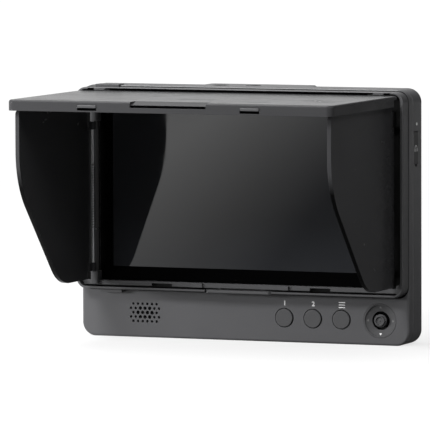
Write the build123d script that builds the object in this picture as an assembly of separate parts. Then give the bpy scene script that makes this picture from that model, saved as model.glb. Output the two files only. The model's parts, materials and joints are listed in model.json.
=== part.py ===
# Camera field monitor with a folding sun hood.
# The origin is the mouth of the tripod socket in the base: +X right, +Y to the back, +Z up.
import math
import os

from build123d import *

# Screen, which sets the size of the monitor and its hood
active_width = 110.7
active_height = 62.3
strip_height = 28.3        # base up to the active area
top_margin = 9.7           # active area up to the top
side_margin = 13.95        # active area out to each side
screen_border = 5.65
screen_border_low = 5.5
screen_proud = 0.8
screen_thick = 2.8
surround_corner_r = 1.0
panel_thick = 4.2
panel_margin = 2.6

# Monitor body
body_corner_r = 5.5
slab_depth = 17.3          # front face to rear face beside the spine
face_to_socket = 11.4      # front face back to the tripod socket axis
split_depth = 4.6          # front face back to the joint between the two cases
front_edge_r = 1.0
rear_edge_r = 3.5
case_wall = 2.0
front_wall = 1.6
seam_chamfer = 0.25
spine_margin = 3.3         # battery plate out to the spine's side
spine_proud = 6.3
spine_edge_r = 3.0

# Chassis and boards
chassis_thick = 1.2
chassis_inset = 5.0        # screen surround in to the chassis
chassis_drop = 4.9         # screen surround down to the chassis
chassis_top_gap = 11.0
chassis_corner_r = 3.0
chassis_post_r = 1.6
chassis_post_inset = (2.0, 4.0)
board_thick = 1.6
board_gap = 1.4
board_inset = (4.0, 3.6)
board_screw_inset = 4.0
standoff_r = 2.2
chip_high = 1.0
chips = ((-18.0, 9.0, 14.0), (20.0, 5.0, 11.0), (4.0, -17.0, 9.0))  # X, Z from the board's middle, side

# Controls on the front
control_z = 9.7
button_pitch = 12.0
button_count = 3
button_offset = 16.1       # last key out to the stick
button_r = 3.6
button_gap = 0.3
button_proud = 0.5
button_edge_r = 0.35
button_travel = 0.4
button_flange_r = 4.4
button_flange = 0.8
button_stem_r = 1.4
switch_side = 5.2
switch_high = 1.6
dome_r = 1.2
dome_high = 0.5
stick_inset = 12.1         # side of the body in to the stick
stick_bezel_r = 6.75
stick_rim = 0.5
stick_rim_step = 0.35
stick_hole_r = 3.65
stick_dish = 1.3
stick_bezel_thick = 2.1
stick_nub_r = 2.0
stick_nub_proud = 0.7
stick_cup_r = 1.45
stick_cap_edge = 0.18
stick_cup_deep = 0.6
stick_pip_r = 0.5
stick_pip_high = 0.3
stick_skirt_r = 2.6
stick_skirt = (1.1, 1.9)   # nub's top back to the skirt's front and rear
stick_neck_r = 2.3
stick_neck_long = 2.4
stick_cone_long = 0.7
stick_shaft_r = 1.1
stick_travel = 0.3
gimbal_depth = 7.6         # front face back to the tilt centre
gimbal_ring_r = 4.3
gimbal_ring_wall = 1.1
gimbal_thick = 1.6
gimbal_disc_r = 2.4
trunnion_r = 0.45
trunnion_bite = 0.3
stick_base_side = 11.6
stick_base_wall = 0.9
stick_base_floor = 0.6
control_board_thick = 1.2
control_board_depth = 11.2 # front face back to the control board
control_board_past = (7.7, 6.6)  # board past the first key and past the stick
control_board_z = (2.6, 16.6)
standoff_inset = 3.2       # control board's end in to its standoff

# Speaker
speaker_inset = 27.1       # side of the body in to the speaker
speaker_z = 9.9
speaker_pitch = 2.0
speaker_rows = (6, 7, 6, 7, 6)
speaker_hole_r = 0.7
speaker_hole_small_r = 0.52
speaker_core = 1.6         # pitches out to the smaller holes
speaker_mesh_r = 7.0
speaker_mesh_thick = 0.3
speaker_basket_r = 6.8
speaker_magnet_r = 4.4
speaker_depth = 4.0
speaker_collar = 0.9
speaker_collar_high = 2.0

# Tripod and locating sockets
thread_r = 3.175
socket_r = 4.2
socket_long = 9.0
thread_long = 7.0
pin_offset = 14.0
pin_r = 2.5
bush_r = 3.5
bush_long = 6.0
pin_long = 4.8
boss_wall = 1.6

# Case screws
screw_inset = 4.9
screw_low_z = 20.6
screw_top_inset = 6.6
screw_r = 1.0
screw_head_r = 1.9
screw_head = 1.2
screw_head_edge_r = 0.3
screw_tip = 2.6            # front face back to the screw's tip
screw_recess = 1.8
cross_long = 2.0
cross_wide = 0.4
cross_deep = 0.7
post_r = 2.5

# Sockets, cover and switch in the sides
side_depth = 8.1           # front face back to the middle of the side sockets
socket_sink = 0.2
switch_drop = 20.6         # top down to the power switch
hdmi_drop = 19.0           # switch down to the picture input
dc_drop = 16.0             # picture input down to the power input
hdmi_mouth = (4.6, 14.2)
hdmi_wall = 0.45
hdmi_depth = 10.0
dc_r = 3.0
dc_hole_r = 2.1
dc_pin_r = 0.85
dc_depth = 9.0
end_wall = 1.5
rib_setback = 2.2
hdmi_rib = 9.0
socket_rib = 3.0
switch_travel = 3.0
switch_knob = (2.4, 3.2)
switch_proud = 0.7
switch_groove = (0.3, 0.25)
switch_groove_pitch = 0.9
switch_plate = (4.2, 7.4)
switch_plate_thick = 1.0
switch_body_depth = 4.0
switch_body_y = (-1.8, 2.6)
cover_drop = 16.5          # top down to the cover's top
cover_high = 12.8
cover_width = 4.8
cover_thick = 1.4
cover_gap = 0.12
cover_pin_r = 0.35
nail_notch = (2.4, 1.0, 1.0)
jack_drop = 23.6
jack_r = 2.3
jack_hole_r = 1.8
jack_depth = 9.0
lamp_drop = 13.7
lamp_forward = 0.7
lamp_r = 0.6
lamp_proud = 0.15
lamp_long = 5.0

# Battery plate
plate_width = 39.4
plate_low = 19.0
plate_top_gap = 12.6
plate_thick = 1.8
plate_rib = (0.8, 0.5)     # raised guide ribs: width and height
plate_rib_x = 11.0
hook_proud = 2.8
hook_wall = 1.4
hook_lip = 1.6
hook_lip_thick = 1.0
hook_long = 9.0
hook_low = 19.0            # plate's lower end up to the lower hooks
hook_high = 21.0           # plate's upper end down to the upper hooks
contact_block = (26.0, 5.0)
contact_rise = 3.0
contact_x = (-9.0, -3.0, 3.0, 9.0)
contact_width = 1.2
contact_slot = (2.2, 0.8)
contact_long = 3.2
contact_proud = 1.5
release_width = 8.0
release_height = 6.0
release_drop = 8.0         # plate's upper end down to the release
release_rest = 0.2         # what stands out of the plate when pressed
release_edge_r = 0.6
release_travel = 1.2
release_flange = 1.0
release_flange_past = 0.9
release_flange_rise = 1.5
release_pocket_gap = 0.4
latch_drop = 6.4           # release down to its latch
latch_width = 4.0
latch_foot = 1.0
latch_rise = (1.2, 2.4)

# Hood base frame
hood_inset = 0.2
hood_depth = 6.4
hood_drop = 3.4            # screen surround down to the frame's lip
hood_top_gap = 0.7
hood_side_wall = 1.2
hood_lip = 1.0
hood_top_wall = 0.8
hood_floor = 1.0
hood_corner_r = 4.2
hood_edge_r = 0.5
window_gap = (0.5, 0.1, 0.45)  # beside, under and over the screen surround
bar_gap = 0.5
bar_depth = 3.5
slot_x = 33.5
slot_width = 8.7
slot_height = 1.1
pad_x = 18.2
pad_width = 4.4
pad_height = 1.6
pad_proud = 0.9
tab_half = 13.8
tab_gap = 0.3
tab_thick = 1.3
tab_end = 1.0
tab_edge_r = 0.4
tab_travel = 0.8
tab_peg_x = 9.0
tab_peg_r = 0.6
tab_peg_hold = 1.0         # what stays in the bar when the tab is drawn down
clip_inset = 11.6
clip_width = 10.0
clip_thick = 0.3
clip_reach = 4.0
clip_web = 1.5
foot_inset = 13.7
foot_width = 9.2
foot_thick = 1.45
foot_depth = 3.4

# Hood lid
lid_inset = 2.15           # frame's side in to the lid's side
lid_reach = 72.4           # frame front to lid front
lid_top_gap = 1.25
lid_thick = 1.6
lid_flange = 4.25
lid_front_wall = 1.5
lid_side_wall = 1.2
lid_corner_r = 2.5
lid_edge_r = 1.0
lid_side_start = 4.2       # frame front to the rear end of the side flanges
lid_rear = 1.4             # lid plate behind the frame front
lid_tail_inset = 1.6       # the plate's sides in, where it runs into the frame
lid_tail_start = 0.7       # frame front to where the plate narrows
latch_window = (8.0, 2.2)
latch_window_drop = 1.5
latch_bar = (7.0, 1.0, 0.9)
grip_half = 15.6
grip_slope = 6.0
grip_drop = 1.3
grip_groove = (1.0, 1.0)
rib_x = (20.0, 44.0)       # stiffening ribs under the lid
rib_size = (0.8, 0.6)
rib_margin = 6.0
lid_axis_back = 0.4        # frame front back to the lid axis
lid_axis_drop = 1.7
ear_inset = 10.2
ear_width = 4.8
ear_gap = 0.3
ear_r = 1.2
lid_pin_r = 0.6
barrel_r = 1.1
barrel_width = 3.0

# Hood wings
rod_inset = 6.5
rod_r = 0.6
left_rod_back = 2.1        # frame front back to the left rod
right_rod_back = 4.0
wing_thick = 1.6
wing_offset = 2.1          # rod axis out to the wing's outer face
wing_setback = 3.0         # lid's front edge back to the left wing's front edge
wing_low_gap = 3.9
wing_top_gap = 2.95
wing_front_edge = 28.45    # straight front edge down to where the slanted edge would meet it
wing_slant = 0.953         # the slanted edge's run back for each unit it drops
wing_bend_r = 32.0
wing_toe_r = 20.0
wing_corner_r = 1.5
wing_rear_gap = 1.5
knuckle_r = 1.2
knuckle_long = 3.2
knuckle_root = 0.1
lug_top_drop = (7.85, 2.05)
lug_low_rise = (2.0, 7.0)
lug_in = 2.3
lug_out = 1.0
lug_r = 1.0
lug_relief = 4.2
axial_gap = 0.1
spring_gap = (16.4, 16.0)  # lower lug up to the spring, spring up to the upper lug
spring_pitch = 1.03
spring_r = 1.05
spring_wire = 0.4

# Clearances
run_gap = 0.05             # shaft in bore, radial
seat_gap = 0.1             # a piece dropped into its pocket
grip_fit = 0.03            # pin held in its ear, radial

# Places worked out from the sizes above
body_width = active_width + 2 * side_margin
body_height = strip_height + active_height + top_margin
half_width = body_width / 2
front_y = -face_to_socket
split_y = front_y + split_depth
back_y = front_y + slab_depth
spine_y = back_y + spine_proud
spine_width = plate_width + 2 * spine_margin
inner_y = front_y + front_wall
screen_y = front_y - screen_proud
screen_back_y = screen_y + screen_thick
panel_back_y = screen_back_y + panel_thick
chassis_back_y = panel_back_y + chassis_thick
board_y = chassis_back_y + board_gap
surround_half = active_width / 2 + screen_border
surround_low = strip_height - screen_border_low
surround_high = strip_height + active_height + screen_border
chassis_half = surround_half - chassis_inset
chassis_low = surround_low - chassis_drop
chassis_high = body_height - chassis_top_gap
chassis_mid = (chassis_low + chassis_high) / 2
board_half = chassis_half - board_inset[0]
board_half_height = (chassis_high - chassis_low) / 2 - board_inset[1]
stick_x = half_width - stick_inset
button_x = [stick_x - button_offset - step * button_pitch for step in reversed(range(button_count))]
gimbal_y = front_y + gimbal_depth
control_board_y = front_y + control_board_depth - control_board_thick
control_board_x = (button_x[0] - control_board_past[0], stick_x + control_board_past[1])
dome_y = control_board_y - switch_high
speaker_x = speaker_inset - half_width
screw_x = half_width - screw_inset
side_y = front_y + side_depth
lamp_y = side_y + lamp_forward
switch_z = body_height - switch_drop
hdmi_z = switch_z - hdmi_drop
dc_z = hdmi_z - dc_drop
cover_z = (body_height - cover_drop - cover_high, body_height - cover_drop)
jack_z = body_height - jack_drop
lamp_z = body_height - lamp_drop
plate_high = body_height - plate_top_gap
plate_y = spine_y - plate_thick
cavity_y = plate_y - case_wall
hook_z = (plate_low + hook_low, plate_high - hook_high)
contact_z = plate_low + contact_rise
release_z = plate_high - release_drop
release_proud = release_rest + release_travel
latch_z = release_z - latch_drop
hood_y = front_y - hood_depth
hood_half = half_width - hood_inset
hood_low = surround_low - hood_drop
hood_high = body_height - hood_top_gap
window_half = surround_half + window_gap[0]
window_low = surround_low - window_gap[1]
window_high = surround_high + window_gap[2]
floor_y = front_y - hood_floor
bar_y = front_y - bar_depth
bar_low = hood_low + hood_lip + bar_gap
tab_peg_y = (bar_y + floor_y) / 2
tab_peg_long = tab_peg_hold + tab_travel
clip_x = clip_inset - hood_half
foot_x = foot_inset - hood_half
lid_half = hood_half - lid_inset
lid_front_y = hood_y - lid_reach
lid_top = hood_high - lid_top_gap
lid_under = lid_top - lid_thick
lid_axis_y = hood_y + lid_axis_back
lid_axis_z = lid_top - lid_axis_drop
ear_x = lid_half - ear_inset
rod_x = hood_half - rod_inset
left_rod_y = hood_y + left_rod_back
right_rod_y = hood_y + right_rod_back
wing_reach = lid_reach - wing_setback + left_rod_back
wing_low = hood_low + wing_low_gap
wing_high = lid_under - wing_top_gap
wing_edge_low = wing_high - wing_front_edge
lug_top = (wing_high - lug_top_drop[0], wing_high - lug_top_drop[1])
lug_low = (hood_low + lug_low_rise[0], hood_low + lug_low_rise[1])
spring_z = (lug_low[1] + spring_gap[0], lug_top[0] - spring_gap[1])


def block(x0, x1, y0, y1, z0, z1):
    middle = Pos((x0 + x1) / 2, (y0 + y1) / 2, (z0 + z1) / 2)
    return middle * Box(x1 - x0, y1 - y0, z1 - z0)


def along_y(profile, y0, y1):
    """A profile drawn in X and Z, run from y0 back to y1."""
    return extrude(Plane.XZ.offset(-y1) * profile, y1 - y0)


def along_x(profile, x0, x1):
    """A profile drawn in Y and Z, run from x0 to x1."""
    return extrude(Plane.YZ.offset(x0) * profile, x1 - x0)


def along_z(profile, z0, z1):
    """A profile drawn in X and Y, run from z0 up to z1."""
    return extrude(Plane.XY.offset(z0) * profile, z1 - z0)


def rod_along_x(r, x0, x1, y, z):
    return along_x(Pos(y, z) * Circle(r), x0, x1)


def rod_along_y(r, y0, y1, x, z):
    return along_y(Pos(x, z) * Circle(r), y0, y1)


def rod_along_z(r, z0, z1, x, y):
    return along_z(Pos(x, y) * Circle(r), z0, z1)


def slab_profile(inset=0.0):
    """The monitor's rounded outline, drawn in X and Z."""
    width = body_width - 2 * inset
    height = body_height - 2 * inset
    return Pos(0, body_height / 2) * RectangleRounded(width, height, body_corner_r - inset)


def screw_places():
    return [(sx * screw_x, z) for z in (screw_low_z, body_height - screw_top_inset) for sx in (-1, 1)]


def speaker_places():
    """The staggered rows of the grille, with the radius of each hole."""
    row_pitch = speaker_pitch * math.sqrt(3) / 2
    middle = (len(speaker_rows) - 1) / 2
    places = []
    for row, count in enumerate(speaker_rows):
        for column in range(count):
            x = (column - (count - 1) / 2) * speaker_pitch
            z = (row - middle) * row_pitch
            core = math.hypot(x, z) < speaker_core * speaker_pitch
            places.append((speaker_x + x, speaker_z + z, speaker_hole_r if core else speaker_hole_small_r))
    return places


def front_case():
    case = along_y(slab_profile(), front_y, split_y)
    case = fillet(case.faces().sort_by(Axis.Y)[0].edges(), front_edge_r)
    case = chamfer(case.faces().sort_by(Axis.Y)[-1].edges(), seam_chamfer)
    case -= along_y(slab_profile(case_wall), inner_y, split_y)
    for x, z in screw_places():
        case += rod_along_y(post_r, inner_y, split_y, x, z)
    case -= block(-surround_half - seat_gap, surround_half + seat_gap, front_y, inner_y,
                  surround_low - seat_gap, surround_high + seat_gap)
    for x, z in screw_places():
        case -= rod_along_y(screw_r, front_y + screw_tip, split_y, x, z)
    collar_r = speaker_mesh_r + seat_gap
    collar_back = inner_y + speaker_collar_high
    case += rod_along_y(collar_r + speaker_collar, inner_y, collar_back, speaker_x, speaker_z)
    case -= rod_along_y(collar_r, inner_y, collar_back, speaker_x, speaker_z)
    for x in button_x:
        case -= rod_along_y(button_r + button_gap, front_y, inner_y, x, control_z)
    case -= rod_along_y(stick_bezel_r + seat_gap, front_y, inner_y, stick_x, control_z)
    for x, z, r in speaker_places():
        case -= rod_along_y(r, front_y, inner_y, x, z)
    return case


def rear_shell():
    """The rear case's skin: the slab behind the joint and the battery spine, hollow inside."""
    slab = along_y(slab_profile(), split_y, back_y)
    slab = fillet(slab.faces().sort_by(Axis.Y)[-1].edges(), rear_edge_r)
    slab = chamfer(slab.faces().sort_by(Axis.Y)[0].edges(), seam_chamfer)
    half = spine_width / 2
    spine = block(-half, half, split_y + seam_chamfer, spine_y, 0, body_height)
    rear = spine.faces().sort_by(Axis.Y)[-1]
    spine = fillet(rear.edges().filter_by(Axis.Z), spine_edge_r)
    spine = fillet(spine.faces().sort_by(Axis.Y)[-1].edges(), front_edge_r)
    shell = slab + spine
    shell -= along_y(slab_profile(case_wall), split_y, back_y - case_wall)
    inner = half - case_wall
    shell -= block(-inner, inner, split_y, cavity_y, case_wall, body_height - case_wall)
    return shell


def socket_boss(top):
    """The boss behind a tripod socket and its locating bush, at the top or the base."""
    long = socket_long + boss_wall
    low, high = (body_height - long, body_height) if top else (0, long)
    boss = rod_along_z(socket_r + boss_wall, low, high, 0, 0)
    bush_low = body_height - bush_long - boss_wall if top else 0
    boss += rod_along_z(bush_r + boss_wall, bush_low, bush_low + bush_long + boss_wall, -pin_offset, 0)
    front = panel_back_y + seat_gap
    return boss & block(-body_width, body_width, front, cavity_y, 0, body_height)


def rear_case():
    case = rear_shell()
    for top in (False, True):
        case += socket_boss(top)
    inner_back = back_y - case_wall
    for x, z in screw_places():
        case += rod_along_y(post_r, split_y, inner_back, x, z)
    for x, z in chassis_post_places():
        case += rod_along_y(chassis_post_r, chassis_back_y, inner_back, x, z)
    for x in (spine_width / 2 + standoff_inset, control_board_x[1] - standoff_inset):
        case += rod_along_y(standoff_r, control_board_y + control_board_thick, inner_back, x, control_z)
    case += cradles()
    for z0, z1 in ((0, socket_long), (body_height - socket_long, body_height)):
        case -= rod_along_z(socket_r + grip_fit, z0, z1, 0, 0)
    for z0, z1 in ((0, bush_long), (body_height - bush_long, body_height)):
        case -= rod_along_z(bush_r + grip_fit, z0, z1, -pin_offset, 0)
    for x, z in screw_places():
        case -= rod_along_y(screw_r + seat_gap, split_y, back_y, x, z)
        case -= rod_along_y(screw_head_r + seat_gap, back_y - screw_recess, back_y, x, z)
    half = plate_width / 2 + seat_gap
    case -= block(-half, half, plate_y, spine_y, plate_low - seat_gap, plate_high + seat_gap)
    half, low, high = release_flange_box()
    gap = release_pocket_gap
    case -= block(-half - gap, half + gap, cavity_y, plate_y, low - gap, high + gap)
    case -= side_openings()
    return case


def chassis_post_places():
    across, up = chassis_post_inset
    rows = (chassis_low + up, chassis_high - up)
    return [(sx * (chassis_half - across), z) for sx in (-1, 1) for z in rows]


def cradles():
    """The ribs on the rear wall that back each side socket and the switch."""
    inner = half_width - case_wall
    back = back_y - case_wall
    switch_front = switch_plate_thick + 2 * seat_gap
    hdmi_back = side_y + hdmi_mouth[0] / 2 + hdmi_wall
    rests = (
        (-inner, -inner + hdmi_depth - rib_setback, hdmi_back, hdmi_z, hdmi_rib),
        (-inner, -inner + dc_depth - rib_setback, side_y + dc_r, dc_z, socket_rib),
        (-inner + switch_front + seat_gap, -inner + switch_front + switch_body_depth,
         side_y + switch_body_y[1], switch_z, switch_plate[1]),
        (inner - jack_depth, inner - rib_setback, side_y + jack_r, jack_z, socket_rib),
    )
    ribs = [block(x0, x1, y, back, z - long / 2, z + long / 2) for x0, x1, y, z, long in rests]
    return Compound(ribs)


def side_openings():
    """Everything cut through the two side walls."""
    left = -half_width
    inner = left + case_wall
    y_half = hdmi_mouth[0] / 2 + hdmi_wall + seat_gap
    z_half = hdmi_mouth[1] / 2 + hdmi_wall + seat_gap
    cut = block(left, inner, side_y - y_half, side_y + y_half, hdmi_z - z_half, hdmi_z + z_half)
    cut += rod_along_x(dc_r + seat_gap, left, inner, side_y, dc_z)
    slot_y = switch_knob[0] / 2 + button_gap
    slot_z = (switch_knob[1] + switch_travel) / 2 + button_gap
    cut += block(left, inner, side_y - slot_y, side_y + slot_y, switch_z - slot_z, switch_z + slot_z)
    right = half_width
    y_half = cover_width / 2 + cover_gap
    cut += block(right - case_wall, right, side_y - y_half, side_y + y_half,
                 cover_z[0] - cover_gap, cover_z[1] + cover_gap)
    notch_y, notch_z, notch_x = nail_notch
    cut += block(right - notch_x, right, side_y - notch_y / 2, side_y + notch_y / 2,
                 cover_z[0] - cover_gap - notch_z, cover_z[0])
    cut += rod_along_x(lamp_r + grip_fit, right - case_wall, right, lamp_y, lamp_z)
    return cut


def screen_surround():
    height = surround_high - surround_low
    outline = RectangleRounded(2 * surround_half, height, surround_corner_r)
    plate = along_y(Pos(0, (surround_low + surround_high) / 2) * outline, screen_y, screen_back_y)
    return plate - screen_glass()


def screen_glass():
    return block(-active_width / 2, active_width / 2, screen_y, screen_back_y,
                 strip_height, strip_height + active_height)


def lcd_panel():
    """The display cell in its folded metal tray."""
    half = active_width / 2 + panel_margin
    low = strip_height - panel_margin
    high = strip_height + active_height + panel_margin
    tray = block(-half, half, screen_back_y, panel_back_y, low, high)
    return fillet(tray.edges().filter_by(Axis.Y), surround_corner_r)


def chassis_plate():
    """The metal plate behind the display, with the standoffs that carry the main board."""
    outline = RectangleRounded(2 * chassis_half, chassis_high - chassis_low, chassis_corner_r)
    plate = along_y(Pos(0, chassis_mid) * outline, panel_back_y, chassis_back_y)
    for x, z in board_screw_places():
        plate += rod_along_y(standoff_r, chassis_back_y, board_y, x, z)
    return plate


def board_screw_places():
    across, up = board_half - board_screw_inset, board_half_height - board_screw_inset
    return [(sx * across, chassis_mid + sz * up) for sx in (-1, 1) for sz in (-1, 1)]


def main_board():
    back = board_y + board_thick
    board = block(-board_half, board_half, board_y, back,
                  chassis_mid - board_half_height, chassis_mid + board_half_height)
    for x, rise, side in chips:
        half, z = side / 2, chassis_mid + rise
        board += block(x - half, x + half, back, back + chip_high, z - half, z + half)
    return board


def control_board():
    return block(control_board_x[0], control_board_x[1], control_board_y,
                 control_board_y + control_board_thick, control_board_z[0], control_board_z[1])


def button_cap(x):
    """A round key: crowned face, retaining flange behind the case wall and a stem to its switch."""
    face = rod_along_y(button_r, front_y - button_proud, inner_y + seat_gap, x, control_z)
    face = fillet(face.faces().sort_by(Axis.Y)[0].edges(), button_edge_r)
    flange_y = inner_y + seat_gap
    cap = face + rod_along_y(button_flange_r, flange_y, flange_y + button_flange, x, control_z)
    return cap + rod_along_y(button_stem_r, flange_y, dome_y - button_travel - seat_gap, x, control_z)


def key_switches():
    """The three snap switches under the keys, on the control board."""
    half = switch_side / 2
    switches = []
    for x in button_x:
        body = block(x - half, x + half, dome_y + dome_high, control_board_y,
                     control_z - half, control_z + half)
        switches.append(body + rod_along_y(dome_r, dome_y, dome_y + dome_high, x, control_z))
    return Compound(switches)


def turned(points, x):
    """A turned piece about the stick's axis: points are (radius, depth behind the front face)."""
    profile = make_face(Plane.XY * Polyline(*[(r, front_y + depth) for r, depth in points], close=True))
    return Pos(x, 0, control_z) * revolve(profile, Axis.Y)


def stick_bezel():
    """The dished ring set in the case round the stick, with a step inside its rim."""
    lip = stick_bezel_r - stick_rim
    return turned([(stick_hole_r, stick_dish), (lip, stick_rim_step), (lip, 0), (stick_bezel_r, 0),
                   (stick_bezel_r, stick_bezel_thick), (stick_hole_r, stick_bezel_thick)], stick_x)


def stick_cap():
    """The thumb nub, cupped round a pip, over a skirt and the shaft that slides in the gimbal's disc."""
    top = -stick_nub_proud
    cup = top + stick_cup_deep
    rim = stick_cap_edge
    skirt_front, skirt_back = (top + depth for depth in stick_skirt)
    neck = top + stick_neck_long
    tail = gimbal_depth + gimbal_thick / 2 + stick_travel
    points = [(0, cup - stick_pip_high), (stick_pip_r, cup), (stick_cup_r, cup), (stick_cup_r + rim, top),
              (stick_nub_r - rim, top), (stick_nub_r, top + rim), (stick_nub_r, skirt_front),
              (stick_skirt_r - rim, skirt_front), (stick_skirt_r, skirt_front + rim),
              (stick_neck_r, skirt_back), (stick_neck_r, neck),
              (stick_shaft_r, neck + stick_cone_long), (stick_shaft_r, tail), (0, tail)]
    return turned(points, stick_x)


def stick_disc():
    """The inner gimbal disc: it carries the shaft and tilts left and right in the ring."""
    half = gimbal_thick / 2
    disc = rod_along_y(gimbal_disc_r, gimbal_y - half, gimbal_y + half, stick_x, control_z)
    reach = gimbal_ring_r - seat_gap
    disc += rod_along_z(trunnion_r, control_z - reach, control_z + reach, stick_x, gimbal_y)
    return disc - rod_along_y(stick_shaft_r + run_gap, gimbal_y - half, gimbal_y + half, stick_x, control_z)


def stick_ring():
    """The outer gimbal ring: it tilts up and down on the base's ears."""
    front, back = gimbal_y - gimbal_thick / 2, gimbal_y + gimbal_thick / 2
    ring = rod_along_y(gimbal_ring_r, front, back, stick_x, control_z)
    ring -= rod_along_y(gimbal_ring_r - gimbal_ring_wall, front, back, stick_x, control_z)
    inner = gimbal_ring_r - trunnion_bite
    outer = stick_base_side / 2
    for sign in (-1, 1):
        ends = sorted((sign * inner, sign * outer))
        ring += rod_along_x(trunnion_r, stick_x + ends[0], stick_x + ends[1], gimbal_y, control_z)
    return ring - rod_along_z(trunnion_r + run_gap, control_z - outer, control_z + outer, stick_x, gimbal_y)


def stick_base():
    """The open tray on the control board whose walls hold the gimbal ring's trunnions."""
    half = stick_base_side / 2
    front = gimbal_y - gimbal_thick / 2 - 2 * seat_gap
    base = block(stick_x - half, stick_x + half, front, control_board_y, control_z - half, control_z + half)
    inner = half - stick_base_wall
    floor = control_board_y - stick_base_floor
    base -= block(stick_x - inner, stick_x + inner, front, floor, control_z - inner, control_z + inner)
    return base - rod_along_x(trunnion_r + run_gap, stick_x - half, stick_x + half, gimbal_y, control_z)


def speaker_mesh():
    return rod_along_y(speaker_mesh_r, inner_y, inner_y + speaker_mesh_thick, speaker_x, speaker_z)


def speaker_driver():
    front = inner_y + speaker_mesh_thick
    middle, back = front + speaker_depth / 2, front + speaker_depth
    driver = rod_along_y(speaker_basket_r, front, middle, speaker_x, speaker_z)
    return driver + rod_along_y(speaker_magnet_r, middle, back, speaker_x, speaker_z)


def socket_sleeve(outer_r, bore_r, long, bore_long, top, x):
    """A round insert with a blind bore, flush with the top or the base."""
    mouth = body_height if top else 0
    inward = -1 if top else 1
    low, high = sorted((mouth, mouth + inward * long))
    sleeve = rod_along_z(outer_r, low, high, x, 0)
    low, high = sorted((mouth, mouth + inward * bore_long))
    return sleeve - rod_along_z(bore_r, low, high, x, 0)


def case_screws():
    screws = []
    head_y = back_y - screw_recess
    for x, z in screw_places():
        head = rod_along_y(screw_head_r, head_y, head_y + screw_head, x, z)
        head = fillet(head.faces().sort_by(Axis.Y)[-1].edges(), screw_head_edge_r)
        for half_x, half_z in ((cross_long / 2, cross_wide / 2), (cross_wide / 2, cross_long / 2)):
            head -= block(x - half_x, x + half_x, head_y + screw_head - cross_deep, head_y + screw_head,
                          z - half_z, z + half_z)
        screws.append(head + rod_along_y(screw_r, front_y + screw_tip, head_y, x, z))
    return Compound(screws)


def hdmi_socket():
    """The metal shell of the picture input, closed at its inner end."""
    left = -half_width + socket_sink
    end = left + hdmi_depth - end_wall
    y_half, z_half = hdmi_mouth[0] / 2, hdmi_mouth[1] / 2
    shell = block(left, left + hdmi_depth, side_y - y_half - hdmi_wall, side_y + y_half + hdmi_wall,
                  hdmi_z - z_half - hdmi_wall, hdmi_z + z_half + hdmi_wall)
    return shell - block(left, end, side_y - y_half, side_y + y_half, hdmi_z - z_half, hdmi_z + z_half)


def dc_socket():
    left = -half_width + socket_sink
    end = left + dc_depth - end_wall
    socket = rod_along_x(dc_r, left, left + dc_depth, side_y, dc_z)
    socket -= rod_along_x(dc_hole_r, left, end, side_y, dc_z)
    return socket + rod_along_x(dc_pin_r, left + end_wall, end, side_y, dc_z)


def power_switch():
    """The sliding knob, which stands through its slot on a wider plate inside the wall."""
    knob_y, knob_z = switch_knob[0] / 2, switch_knob[1] / 2
    inner = -half_width + case_wall
    knob_mid = switch_z - switch_travel / 2
    knob = block(-half_width - switch_proud, inner + seat_gap, side_y - knob_y, side_y + knob_y,
                 knob_mid - knob_z, knob_mid + knob_z)
    face = -half_width - switch_proud
    wide, deep = switch_groove
    for step in (-1, 0, 1):
        z = knob_mid + step * switch_groove_pitch
        knob -= block(face, face + deep, side_y - knob_y, side_y + knob_y, z - wide / 2, z + wide / 2)
    plate_y, plate_z = switch_plate[0] / 2, switch_plate[1] / 2
    return knob + block(inner + seat_gap, inner + seat_gap + switch_plate_thick, side_y - plate_y,
                        side_y + plate_y, knob_mid - plate_z, knob_mid + plate_z)


def power_switch_body():
    near = -half_width + case_wall + seat_gap + switch_plate_thick + seat_gap
    half_z = switch_plate[1] / 2 + switch_travel
    return block(near, near + switch_body_depth, side_y + switch_body_y[0], side_y + switch_body_y[1],
                 switch_z - half_z, switch_z + half_z)


def cover_axis():
    return half_width - cover_thick / 2, cover_z[1] - cover_thick / 2


def port_cover():
    """The flap over the sound socket, round at the top where its pin runs."""
    axis_x, axis_z = cover_axis()
    y_half = cover_width / 2
    flap = block(half_width - cover_thick, half_width, side_y - y_half, side_y + y_half, cover_z[0], axis_z)
    flap += rod_along_y(cover_thick / 2, side_y - y_half, side_y + y_half, axis_x, axis_z)
    return flap - rod_along_y(cover_pin_r + run_gap, side_y - y_half, side_y + y_half, axis_x, axis_z)


def port_cover_pin():
    axis_x, axis_z = cover_axis()
    y_half = cover_width / 2 + cover_gap
    return rod_along_y(cover_pin_r, side_y - y_half, side_y + y_half, axis_x, axis_z)


def sound_socket():
    mouth = half_width - case_wall
    socket = rod_along_x(jack_r, mouth - jack_depth, mouth, side_y, jack_z)
    return socket - rod_along_x(jack_hole_r, mouth - jack_depth + end_wall, mouth, side_y, jack_z)


def status_lamp():
    return rod_along_x(lamp_r, half_width - lamp_long, half_width + lamp_proud, lamp_y, lamp_z)


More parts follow.
